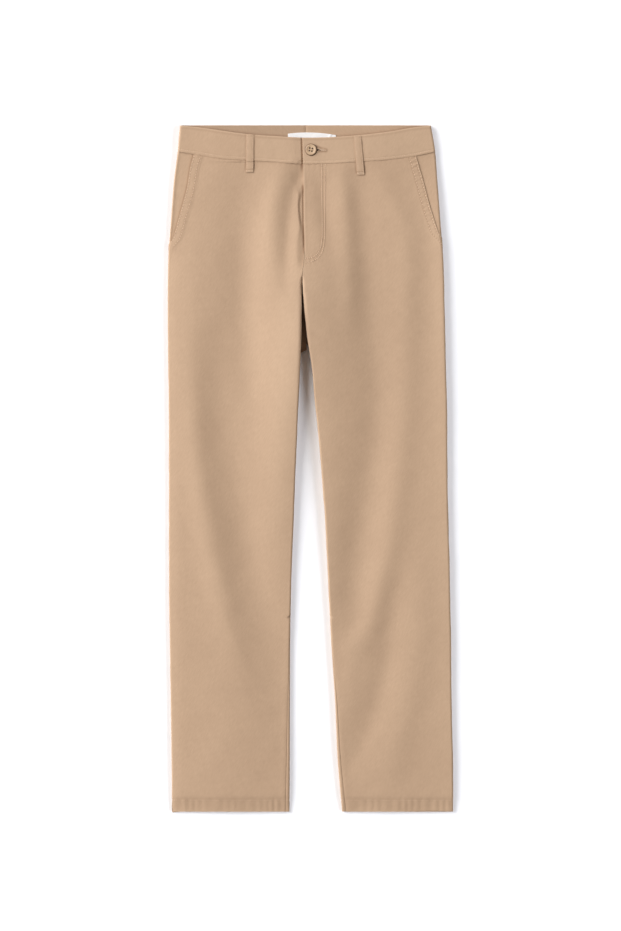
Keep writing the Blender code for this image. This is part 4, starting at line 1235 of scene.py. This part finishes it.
button = turned("resin_button", BUTTON_PROFILE, 72)
button.location = (BUTTON_AT[0] * MM, BUTTON_AT[1] * MM, button_base * MM)
holes = []
for hole_place in hole_places:
    hole = turned("sewing_hole", ((0.0, -3.0), (HOLE_RADIUS, -3.0), (HOLE_RADIUS, 9.0), (0.0, 9.0)), 20)
    hole.modifiers["turned"].use_normal_flip = True
    hole.location = (*(hole_place * MM), button_base * MM)
    holes.append(hole)
button = applied(button, holes)
button.data.shade_smooth()
button.data.set_sharp_from_angle(angle=math.radians(40))
print("button:", 2 * max(BUTTON_PROFILE)[0], "mm across,", len(button.data.polygons), "faces")

# %% [markdown]
# ## The buttonhole
#
# The buttonhole is a real slit through the left half of the waistband, held a little open by the button's
# thread. It is cut with a Boolean from a thin, pointed block made from its outline.

# %% Buttonhole
SLIT_MIDDLE = 492.2  # Y between its two lips
SLIT = ((1.0, 493.5), (9.0, 494.3), (13.0, 493.0), (18.0, 492.4), (22.6, 492.2),
        (22.8, 491.9), (18.0, 491.8), (13.0, 491.5), (9.0, 491.1), (1.0, 491.3))


def prism(name, outline, low, high):
    """A block with the given outline in plan."""
    count = len(outline)
    points = [(x, y, z) for z in (low, high) for x, y in outline]
    faces = [tuple(range(count)), tuple(range(2 * count - 1, count - 1, -1))]
    faces += [(i, i + count, (i + 1) % count + count, (i + 1) % count) for i in range(count)]
    return mesh_from(name, points, faces, smooth=False)


slit = prism("slit", SLIT, button_base - 6.0, button_base + 6.0)
applied(cloth["waistband_left"], [slit])
print("buttonhole:", SLIT[4][0] - SLIT[0][0], "mm long")

# %% [markdown]
# ## Stitches
#
# Stitches are what makes a sewn thing look sewn. Each one is a short, thick stroke of thread that dives into
# the cloth at both ends. They are laid along lines read from the finished sheets, so that they follow every
# pucker. One function makes all the stitches of a row at once.

# %% Making stitches
Stitch = namedtuple("Stitch", "pitch length half_width lift")
SEWN = {
    "pocket": Stitch(4.3, 2.6, 0.5, 0.3),
    "hem": Stitch(3.1, 2.5, 0.34, 0.24),
    "hem_under": Stitch(3.1, 2.5, 0.24, -0.1),
    "waistband": Stitch(3.1, 2.5, 0.26, 0.1),
    "fly": Stitch(3.1, 2.5, 0.5, 0.3),
    "loop": Stitch(2.6, 2.0, 0.22, 0.12),
    "loop_under": Stitch(2.6, 2.0, 0.22, -0.12),
    "loop_bar": Stitch(0.75, 0.9, 0.3, 0.22),
    "loop_bar_under": Stitch(0.75, 0.9, 0.3, -0.12),
    "buttonhole": Stitch(0.42, 0.9, 0.34, 0.2),
    "buttonhole_bar": Stitch(0.4, 0.9, 0.5, 0.3),
}
RING = 6  # points round a stitch


def stitch_row(line, normal, stitch):
    """(points, faces) of stitches along a line on the cloth."""
    pitch, length, half_width, lift = stitch
    size = lengths_along(line)
    count = max(1, int((size[-1] - length) / pitch) + 1)
    middles = (size[-1] - (count - 1) * pitch) / 2 + pitch * np.arange(count)
    parts = np.array([-1.0, -0.7, 0.0, 0.7, 1.0])
    at = middles[:, None] + parts * length / 2

    def read(values, where):
        return np.stack([np.interp(where, size, values[:, k]) for k in range(3)], axis=-1)

    up = read(normal, at)
    up /= np.linalg.norm(up, axis=-1, keepdims=True)
    along = read(line, at + 0.05) - read(line, at - 0.05)
    along /= np.maximum(np.linalg.norm(along, axis=-1, keepdims=True), 1e-9)
    aside = np.cross(up, along)
    lifts = lift * np.array([-2.2, 0.3, 1.0, 0.3, -2.2])
    thick = half_width * np.array([0.55, 0.95, 1.0, 0.95, 0.55])
    turn = np.arange(RING) * math.pi / 3
    middle = (read(line, at) + up * lifts[None, :, None])[:, :, None, :]
    ring = aside[:, :, None, :] * np.cos(turn)[:, None] + 0.8 * up[:, :, None, :] * np.sin(turn)[:, None]
    points = (middle + ring * thick[None, :, None, None]).reshape(-1, 3)
    points[:, 2] = np.maximum(points[:, 2], 0.0)
    faces = []
    for first in range(0, count * len(parts) * RING, len(parts) * RING):
        last = first + (len(parts) - 1) * RING
        for a in range(first, last, RING):
            turns = [(a + k, a + (k + 1) % RING) for k in range(RING)]
            faces += [(here, there, there + RING, here + RING) for here, there in turns]
        faces += [tuple(first + k for k in range(RING - 1, -1, -1)), tuple(last + k for k in range(RING))]
    return points, faces


def stitch_piece(name, rows):
    """One object from several rows of stitches."""
    points, faces, shift = [], [], 0
    for more_points, more_faces in rows:
        points.append(more_points)
        faces += [tuple(shift + k for k in face) for face in more_faces]
        shift += len(more_points)
    return mesh_from(name, np.concatenate(points), faces)


stitches = {}
for side in SIDES:
    grid, normal = fronts[side], grid_normals(fronts[side], SIGNS[side])
    in_pocket = (FRONT_ROWS > POCKET_TIP + 10.0) & (FRONT_ROWS < BACK_BAND_SEAM - 1.5)
    rows = []
    for offset in POCKET_ROWS:
        column = OUTER_STEPS.index(offset)
        rows.append(stitch_row(grid[in_pocket, column], normal[in_pocket, column], SEWN["pocket"]))
    stitches["pocket_stitches_" + side] = stitch_piece("pocket_stitches_" + side, rows)
    hem_row = int(np.argmin(np.abs(FRONT_ROWS - HEM_STITCH)))
    back_row = int(np.argmin(np.abs(BACK_ROWS - HEM_STITCH)))
    back_normal = grid_normals(backs[side], -SIGNS[side])
    hems = [
        stitch_row(grid[hem_row], normal[hem_row], SEWN["hem"]),
        stitch_row(backs[side][back_row], back_normal[back_row], SEWN["hem_under"]),
    ]
    stitches["hem_stitches_" + side] = stitch_piece("hem_stitches_" + side, hems)
    band_row = BAND_LOW.index(BAND_STITCH)
    band, band_normal = bands[side], grid_normals(bands[side], -SIGNS[side])
    shown = slice(0, len(band[0]) - (20 if side == "right" else 0))
    row = stitch_row(band[band_row, shown], band_normal[band_row, shown], SEWN["waistband"])
    stitches["waistband_stitches_" + side] = stitch_piece("waistband_stitches_" + side, [row])
print("stitched pieces:", len(stitches))


# %% Fly, belt loops and buttonhole thread
def on_sheet(grid, sign, points):
    """Places in plan dropped onto a sheet: (points, normals)."""
    rows, cols, _ = grid.shape
    tree = BVHTree.FromPolygons(grid.reshape(-1, 3).tolist(), grid_faces(rows, cols, sign > 0))
    found = [tree.ray_cast(Vector((x, y, 100.0)), Vector((0.0, 0.0, -1.0))) for x, y in points]
    found = [hit for hit in found if hit[0] is not None]
    upwards = [normal if normal.z > 0 else -normal for _, normal, _, _ in found]
    return np.array([hit[0] for hit in found]), np.array(upwards)


fly_thread = []
for row in (FLY_OUTER_ROW, FLY_INNER_ROW):
    line = on_sheet(fronts["left"], SIGNS["left"], smooth_line(row, 0.8))
    fly_thread.append(stitch_row(*line, SEWN["fly"]))
stitches["fly_stitches"] = stitch_piece("fly_stitches", fly_thread)

for name, grid in loop_grids.items():
    front = "front" in name
    under = "" if front else "_under"
    normal = grid_normals(grid, -1.0 if front else 1.0)
    edge = 0.5 * LOOP_WIDTH - 1.9
    from_middle = grid[0, :, 0] - grid[0, :, 0].mean()
    columns = [int(np.argmin(np.abs(from_middle - offset))) for offset in (-edge, edge)]
    rows = [stitch_row(grid[:, c], normal[:, c], SEWN["loop" + under]) for c in columns]
    foot = int(len(grid) * 0.955)
    bar = grid[foot - 1 : foot + 1].mean(axis=0), normal[foot]
    for shift in (-0.5, 0.0, 0.5):
        line = bar[0] + np.array([0.0, shift, 0.0])
        rows.append(stitch_row(line, bar[1], SEWN["loop_bar" + under]))
    stitches[name + "_stitches"] = stitch_piece(name + "_stitches", rows)

lips = []
for outline in (SLIT[1:5], SLIT[5:9]):
    lip = smooth_line(outline, 0.4)
    outward = np.sign(lip[:, 1:] - SLIT_MIDDLE) * np.array([0.0, 0.55])
    lips.append(stitch_row(*on_sheet(bands["left"], -SIGNS["left"], lip + outward), SEWN["buttonhole"]))
bar = smooth_line(((23.6, 490.4), (23.7, 493.6)), 0.3)
lips.append(stitch_row(*on_sheet(bands["left"], -SIGNS["left"], bar), SEWN["buttonhole_bar"]))
stitches["buttonhole_thread"] = stitch_piece("buttonhole_thread", lips)


def thread_bar(start, stop, height, half_width):
    """A thick bundle of thread between two holes of the button, dipping into both."""
    places = 13
    line = np.linspace(start, stop, places)
    arch = np.sin(np.linspace(0.0, math.pi, places))
    line = np.column_stack([line, height - 1.9 + 2.2 * arch**0.45])
    one_stroke = Stitch(99.0, float(np.linalg.norm(stop - start)) + 2.0, half_width, 0.0)
    return stitch_row(line, np.tile((0.0, 0.0, 1.0), (places, 1)), one_stroke)


strands = []
for start, stop in ((hole_places[0], hole_places[3]), (hole_places[1], hole_places[2])):
    aside = np.array([-(stop - start)[1], (stop - start)[0]]) / np.linalg.norm(stop - start)
    for shift in (-0.2, 0.2):
        strands.append(thread_bar(start + aside * shift, stop + aside * shift, button_base + 1.5, 0.16))
stitches["button_thread"] = stitch_piece("button_thread", strands)
print("stitches and thread:", sum(len(piece.data.polygons) for piece in stitches.values()), "faces")

# %% [markdown]
# ## Colours and nodes
#
# Colours are written as the hex values a colour picker shows, and one function turns them into the linear
# values that a render works with. `add_node` adds one shader node, with its settings and its inputs, and an
# input may be a number, a colour or another node's output.

# %% Helpers for finishes
def linear(hex_colour):
    parts = [int(hex_colour[start : start + 2], 16) / 255 for start in (1, 3, 5)]
    return [part / 12.92 if part <= 0.04045 else ((part + 0.055) / 1.055) ** 2.4 for part in parts] + [1.0]


def add_node(tree, kind, settings, inputs):
    made = tree.nodes.new("ShaderNode" + kind)
    for name, value in settings.items():
        setattr(made, name, value)
    for name, value in inputs.items():
        if isinstance(value, bpy.types.NodeSocket):
            tree.links.new(value, made.inputs[name])
        else:
            made.inputs[name].default_value = value
    return made


def new_finish(name, settings):
    """A material, its node tree and its surface, with the surface's plain numbers set on its own sockets."""
    finish = bpy.data.materials.new(name)
    finish.use_nodes = True
    surface = finish.node_tree.nodes["Principled BSDF"]
    for socket, value in settings.items():
        surface.inputs[socket].default_value = value
    return finish, finish.node_tree, surface


def own_spot(tree):
    """A place on the piece itself."""
    return add_node(tree, "TexCoord", {}, {}).outputs["Object"]


def stored(tree, name, output="Fac"):
    """A fact that the sheets keep for each point."""
    return add_node(tree, "Attribute", {"attribute_name": name}, {}).outputs[output]


def put_on(tree, surface, colour, height=None, strength=0.0, distance=0.0):
    """Give the surface its colour and, where it has one, its fine relief."""
    tree.links.new(colour, surface.inputs["Base Color"])
    if height is not None:
        bump = {"Height": height, "Strength": strength, "Distance": distance}
        tree.links.new(add_node(tree, "Bump", {}, bump).outputs[0], surface.inputs["Normal"])


def mixed(tree, factor, first, second):
    """The colour between two colours."""
    return add_node(tree, "Mix", {"data_type": "RGBA"}, {0: factor, 6: first, 7: second}).outputs[2]


def raised(tree, value, low, high, to_low, to_high):
    """A number carried from one range to another."""
    inputs = {"Value": value, "From Min": low, "From Max": high, "To Min": to_low, "To Max": to_high}
    return add_node(tree, "MapRange", {}, inputs).outputs[0]


WAVE_LENGTH = 0.314  # a Wave texture's bands are this many metres apart, divided by its scale
print("khaki in linear values:", [round(value, 3) for value in linear("#BFA186")[:3]])

# %% [markdown]
# ## Cotton twill
#
# Twill is woven so that its face shows fine diagonal ribs, called wales. The yarns are spun unevenly, which
# leaves slubs, and garment washing fades the whole cloth a little and its folded edges most; the paler edges
# and the paler ridges of the folds are also a painted highlight. A deeper brown is painted where shade falls,
# in seams, gaps and beside raised parts. Cotton fibre is matt, with a trace of fuzz that catches light at the
# rim. Real wales are about 0.45 mm apart, far too fine to show here, so they are drawn 1.4 mm apart. The
# reverse shows more weft, so it is flatter and greyer.

# %% Twill finishes
WALE = 1.4 * MM
SLUB_WIDTH = 1.5 * MM
SLUB_LENGTH = 9.0 * MM
FADE_PATCH = 60.0 * MM


def cotton_twill(name, pale, deep, groove, wear_and_highlight, painted_shade_colour, wale_height):
    """Twill in colours from pale to deep, darker in the wales' grooves, paler at edges from wear and a
    painted highlight, and darker in a brown where shade is painted.
    """
    settings = {"Roughness": 0.75, "IOR": 1.47, "Specular IOR Level": 0.45}
    finish, tree, surface = new_finish(name, settings | {"Sheen Weight": 0.6, "Sheen Roughness": 0.3})
    slant = {"Vector": stored(tree, "weave_place", "Vector"), "Rotation": (0.0, 0.0, math.radians(28))}
    slanted = add_node(tree, "Mapping", {}, slant).outputs[0]
    wale_lines = {"Vector": slanted, "Scale": WAVE_LENGTH / WALE, "Distortion": 0.6}
    wales = add_node(tree, "TexWave", {}, wale_lines | {"Detail": 1.0, "Detail Scale": 1.5}).outputs["Fac"]
    long_way = {"Vector": slanted, "Scale": (1.0, SLUB_WIDTH / SLUB_LENGTH, 1.0)}
    drawn_out = add_node(tree, "Mapping", {}, long_way).outputs[0]
    uneven = {"Vector": drawn_out, "Scale": 1 / SLUB_WIDTH, "Detail": 2.0}
    slubs = add_node(tree, "TexNoise", {}, uneven).outputs["Fac"]
    patches = {"Vector": own_spot(tree), "Scale": 1 / FADE_PATCH, "Detail": 3.0}
    fade = add_node(tree, "TexNoise", {}, patches).outputs["Fac"]
    colour = mixed(tree, raised(tree, fade, 0.3, 0.7, 0.25, 0.75), linear(deep), linear(pale))
    colour = mixed(tree, raised(tree, slubs, 0.25, 0.75, 0.42, 0.0), colour, linear(groove))
    colour = mixed(tree, raised(tree, wales, 0.0, 0.5, 0.22, 0.0), colour, linear(groove))
    # Paler at edges and on the folds' ridges: wear and a painted highlight.
    colour = mixed(tree, raised(tree, stored(tree, "edge"), 0.0, 1.0, 0.0, 0.35), colour, linear(wear_and_highlight))
    # Painted shade in a deeper brown.
    colour = mixed(tree, raised(tree, stored(tree, "painted_shade"), 0.0, 1.0, 0.0, 0.75), colour, linear(painted_shade_colour))
    height = add_node(tree, "Math", {"operation": "MULTIPLY_ADD"}, {0: slubs, 1: 0.8, 2: wales}).outputs[0]
    put_on(tree, surface, colour, height, 0.5, wale_height)
    return finish


twill = cotton_twill(
    "garment_washed_cotton_twill", "#C4A68A", "#BC9E83", "#A78A70", "#D4B89B", "#86634A", 0.12 * MM
)
reverse = cotton_twill(
    "reverse_of_cotton_twill", "#BCA085", "#B4977D", "#9F836B", "#BCA085", "#86634A", 0.07 * MM
)
for name, piece in cloth.items():
    if name != "woven_label":
        piece.data.materials.append(twill)
        piece.data.materials.append(reverse)
print("twill wales drawn", round(WALE / MM, 1), "mm apart on", len(cloth) - 1, "sheets")

# %% [markdown]
# ## Thread
#
# The seams are sewn with spun polyester thread dyed to match. It is a little smoother than the cloth, so it
# reads slightly paler. Two plies are twisted together, and the twist is drawn as fine slanting bands 0.7 mm
# apart.

# %% Thread finish
PLIES_APART = 0.7 * MM
settings = {"Roughness": 0.62, "IOR": 1.55, "Specular IOR Level": 0.4, "Sheen Weight": 0.15}
thread, tree, surface = new_finish("matched_spun_polyester_thread", settings)
plies = {"Vector": own_spot(tree), "Scale": WAVE_LENGTH / PLIES_APART, "Distortion": 1.0, "Detail": 1.0}
twist = add_node(tree, "TexWave", {"bands_direction": "DIAGONAL"}, plies).outputs["Fac"]
colour = mixed(tree, raised(tree, twist, 0.0, 1.0, 0.35, 0.0), linear("#DDC1A4"), linear("#BDA087"))
put_on(tree, surface, colour)
for piece in stitches.values():
    piece.data.materials.append(thread)
print("thread on", len(stitches), "pieces")

# %% [markdown]
# ## Resin button
#
# Trouser buttons are moulded from polyester resin with a cloudy, horn-like streak and tumbled to a soft
# polish. The streak is noise drawn out along X. A dark brown ring is painted round the bevelled edge as its
# shade, and the sewing holes are painted near black as the shade inside them. Tumbling leaves the raised rim
# smoother than the dish.

# %% Button finish
STREAK_WIDTH = 3.2 * MM
settings = {"Roughness": 0.5, "IOR": 1.55, "Coat Weight": 0.05, "Coat Roughness": 0.3}
resin, tree, surface = new_finish("tumbled_polyester_resin", settings)
spot = own_spot(tree)
drawn_out = {"Vector": spot, "Scale": (0.35, 1.0, 1.0), "Rotation": (0, 0, 0.5)}
streak_place = add_node(tree, "Mapping", {}, drawn_out).outputs[0]
streaks = {"Vector": streak_place, "Scale": 1 / STREAK_WIDTH, "Detail": 4.0, "Distortion": 0.6}
cloudy = add_node(tree, "TexNoise", {}, streaks).outputs["Fac"]
colour = mixed(tree, raised(tree, cloudy, 0.35, 0.65, 0.0, 1.0), linear("#B8997B"), linear("#C9AC8C"))
level = add_node(tree, "Mapping", {}, {"Vector": spot, "Scale": (1.0, 1.0, 0.0)}).outputs[0]
radius = add_node(tree, "VectorMath", {"operation": "LENGTH"}, {"Vector": level}).outputs["Value"]
# Painted shade: a dark brown ring round the bevelled edge.
colour = mixed(tree, raised(tree, radius, 7.9 * MM, 8.6 * MM, 0.0, 1.0), colour, linear("#5E402B"))
# Painted shade: near black low inside the four sewing holes.
height_of = add_node(tree, "SeparateXYZ", {}, {"Vector": spot}).outputs["Z"]
low = raised(tree, height_of, 1.5 * MM, 1.8 * MM, 1.0, 0.0)
central = raised(tree, radius, 4.2 * MM, 4.8 * MM, 1.0, 0.0)
painted_hole_shade = add_node(tree, "Math", {"operation": "MULTIPLY"}, {0: low, 1: central}).outputs[0]
put_on(tree, surface, mixed(tree, painted_hole_shade, colour, linear("#2A1A10")))
polish = raised(tree, radius, 5.2 * MM, 6.6 * MM, 0.58, 0.48)
tree.links.new(polish, surface.inputs["Roughness"])
button.data.materials.append(resin)
print("button finish:", resin.name)

# %% [markdown]
# ## Woven label and zip
#
# The label is polyester satin: long floats of white yarn give a soft gloss and fine cross lines, drawn
# 0.9 mm apart. The zip lies hidden under the closed fly and keeps its CAD shape. Its tape is a narrow
# herringbone weave, and its coil shows as ribs across the middle.

# %% Label and zip finishes
WEFTS_APART = 0.9 * MM
COILS_APART = 1.2 * MM
settings = {"Roughness": 0.42, "IOR": 1.55, "Sheen Weight": 0.2, "Anisotropic": 0.3}
satin, tree, surface = new_finish("white_woven_satin", settings)
place = stored(tree, "weave_place", "Vector")
floats = {"Vector": place, "Scale": WAVE_LENGTH / WEFTS_APART, "Distortion": 0.4}
wefts = add_node(tree, "TexWave", {"bands_direction": "Y"}, floats).outputs["Fac"]
colour = mixed(tree, raised(tree, wefts, 0.0, 1.0, 0.2, 0.0), linear("#F0F0F1"), linear("#DCDCDE"))
put_on(tree, surface, colour, wefts, 0.3, 0.05 * MM)
label.data.materials.append(satin)

settings = {"Roughness": 0.7, "IOR": 1.53, "Sheen Weight": 0.1}
zip_tape, tree, surface = new_finish("herringbone_zip_tape", settings)
ribs = {"Vector": own_spot(tree), "Scale": WAVE_LENGTH / COILS_APART, "Distortion": 0.3}
coils = add_node(tree, "TexWave", {"bands_direction": "Y"}, ribs).outputs["Fac"]
put_on(tree, surface, mixed(tree, coils, linear("#8A6F57"), linear("#A78A6E")), coils, 0.6, 0.3 * MM)
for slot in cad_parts["fly_zip"].material_slots:
    slot.material = zip_tape
print("finishes:", [finish.name for finish in (satin, zip_tape)])

# %% [markdown]
# ## Floor, light and camera
#
# The garment lies on a white board. One big soft light stands low on the left, so that every fold turns a
# bright side to it and a shaded one away. Through light linking it reaches the garment alone; a weaker copy
# in the same place and a cool fill from the other side reach the board alone. So the board stays clean white
# with a soft shadow, while the cloth keeps its modelling. The walls of the room are pale and fill the shade,
# and its ceiling is dark, so deep gaps stay dark. The camera looks straight down through a long lens, 8 m up.

# %% Floor
BOARD_HALF = 9000.0
BOARD_UNDER = -0.2  # so that the cloth's underside and the board don't share a plane
corners = ((-1, -1), (1, -1), (1, 1), (-1, 1))
places = [(x * BOARD_HALF, y * BOARD_HALF, BOARD_UNDER) for x, y in corners]
board = mesh_from("floor", places, [[0, 1, 2, 3]])
settings = {"Base Color": linear("#F2F2F4"), "Roughness": 1.0, "Specular IOR Level": 0.0}
matt_board, tree, surface = new_finish("matt_white_board", settings)
board.data.materials.append(matt_board)


# %% Lights and camera
def softbox(name, receivers, place, width, height, power, colour=(1.0, 1.0, 1.0)):
    """A rectangular area light that faces the garment and reaches its receivers alone. `place` is its azimuth
    and elevation in degrees and its distance in metres, and its sides are in metres too."""
    azimuth, elevation, distance = place
    data = bpy.data.lights.new(name, "AREA")
    data.shape = "RECTANGLE"
    data.size = width
    data.size_y = height
    data.energy = power
    data.color = colour
    made = bpy.data.objects.new(name, data)
    turn, tilt = math.radians(azimuth), math.radians(elevation)
    aim = Vector((math.cos(turn) * math.cos(tilt), math.sin(turn) * math.cos(tilt), math.sin(tilt)))
    made.location = aim * distance
    made.rotation_euler = aim.to_track_quat("Z", "Y").to_euler()
    made.light_linking.receiver_collection = receivers
    bpy.context.scene.collection.objects.link(made)


only_board = bpy.data.collections.new("board_alone")
only_board.objects.link(board)
garment = bpy.data.collections.new("garment_alone")
for piece in (*cloth.values(), *stitches.values(), button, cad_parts["fly_zip"]):
    garment.objects.link(piece)
KEY_PLACE = (156.0, 36.0, 12.0)
softbox("key_light", garment, KEY_PLACE, 10.0, 11.5, 2470.0)
softbox("board_key_light", only_board, KEY_PLACE, 10.0, 11.5, 2150.0)
softbox("board_light", only_board, (-12.0, 38.0, 9.0), 8.0, 5.0, 740.0, (0.87, 0.92, 1.0))

room = bpy.data.worlds.new("grey_room")
bpy.context.scene.world = room
room.use_nodes = True
tree = room.node_tree
way = add_node(tree, "TexCoord", {}, {}).outputs["Generated"]
upwards = add_node(tree, "SeparateXYZ", {}, {"Vector": way})
tree.nodes["Background"].inputs["Color"].default_value = (1.0, 0.94, 0.88, 1.0)
strength = raised(tree, upwards.outputs["Z"], 0.55, 0.8, 0.6, 0.03)
tree.links.new(strength, tree.nodes["Background"].inputs["Strength"])
bpy.context.scene.view_settings.view_transform = "Standard"

CAMERA_AT = (-0.0004, 0.0046, 8.012)  # metres
lens = bpy.data.cameras.new("camera")
lens.lens = 200.0  # millimetres, on the default sensor
lens.clip_end = 60.0
camera = bpy.data.objects.new("camera", lens)
camera.location = CAMERA_AT
bpy.context.scene.collection.objects.link(camera)
bpy.context.scene.camera = camera
print("camera:", round(camera.location.z, 3), "m above the board")

# %% [markdown]
# ## What each piece is
#
# Each piece rides on the one body, and the CAD solid it stands for is hidden. Tables list each sheet's grid,
# the sheets it lies on and the stitches that go with it.


grids = {"woven_label": label_grid(), **loop_grids}
laid_on = {"woven_label": ["waistband_right_cloth", "waistband_left_cloth"]}
with_them = {name: [name + "_stitches"] for name in loop_grids}
for side in SIDES:
    grids["front_" + side], grids["back_" + side] = fronts[side], backs[side]
    grids["waistband_" + side], grids["pocket_facing_" + side] = bands[side], facing_grid(side)
    with_them["front_" + side] = ["pocket_stitches_" + side, "hem_stitches_" + side]
    with_them["waistband_" + side] = ["waistband_stitches_" + side]
    laid_on["front_" + side] = laid_on["pocket_facing_" + side] = ["back_panel_" + side]
    laid_on["belt_loop_front_" + side] = ["waistband_" + side + "_cloth"]
with_them["front_left"].append("fly_stitches")
with_them["waistband_left"].append("buttonhole_thread")

for name, piece in cloth.items():
    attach(piece, "root")
    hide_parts(name)
for piece in stitches.values():
    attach(piece, "root")
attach(button, "root")
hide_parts("waist_button")
print("sheets:", len(cloth), "pieces of thread:", len(stitches))
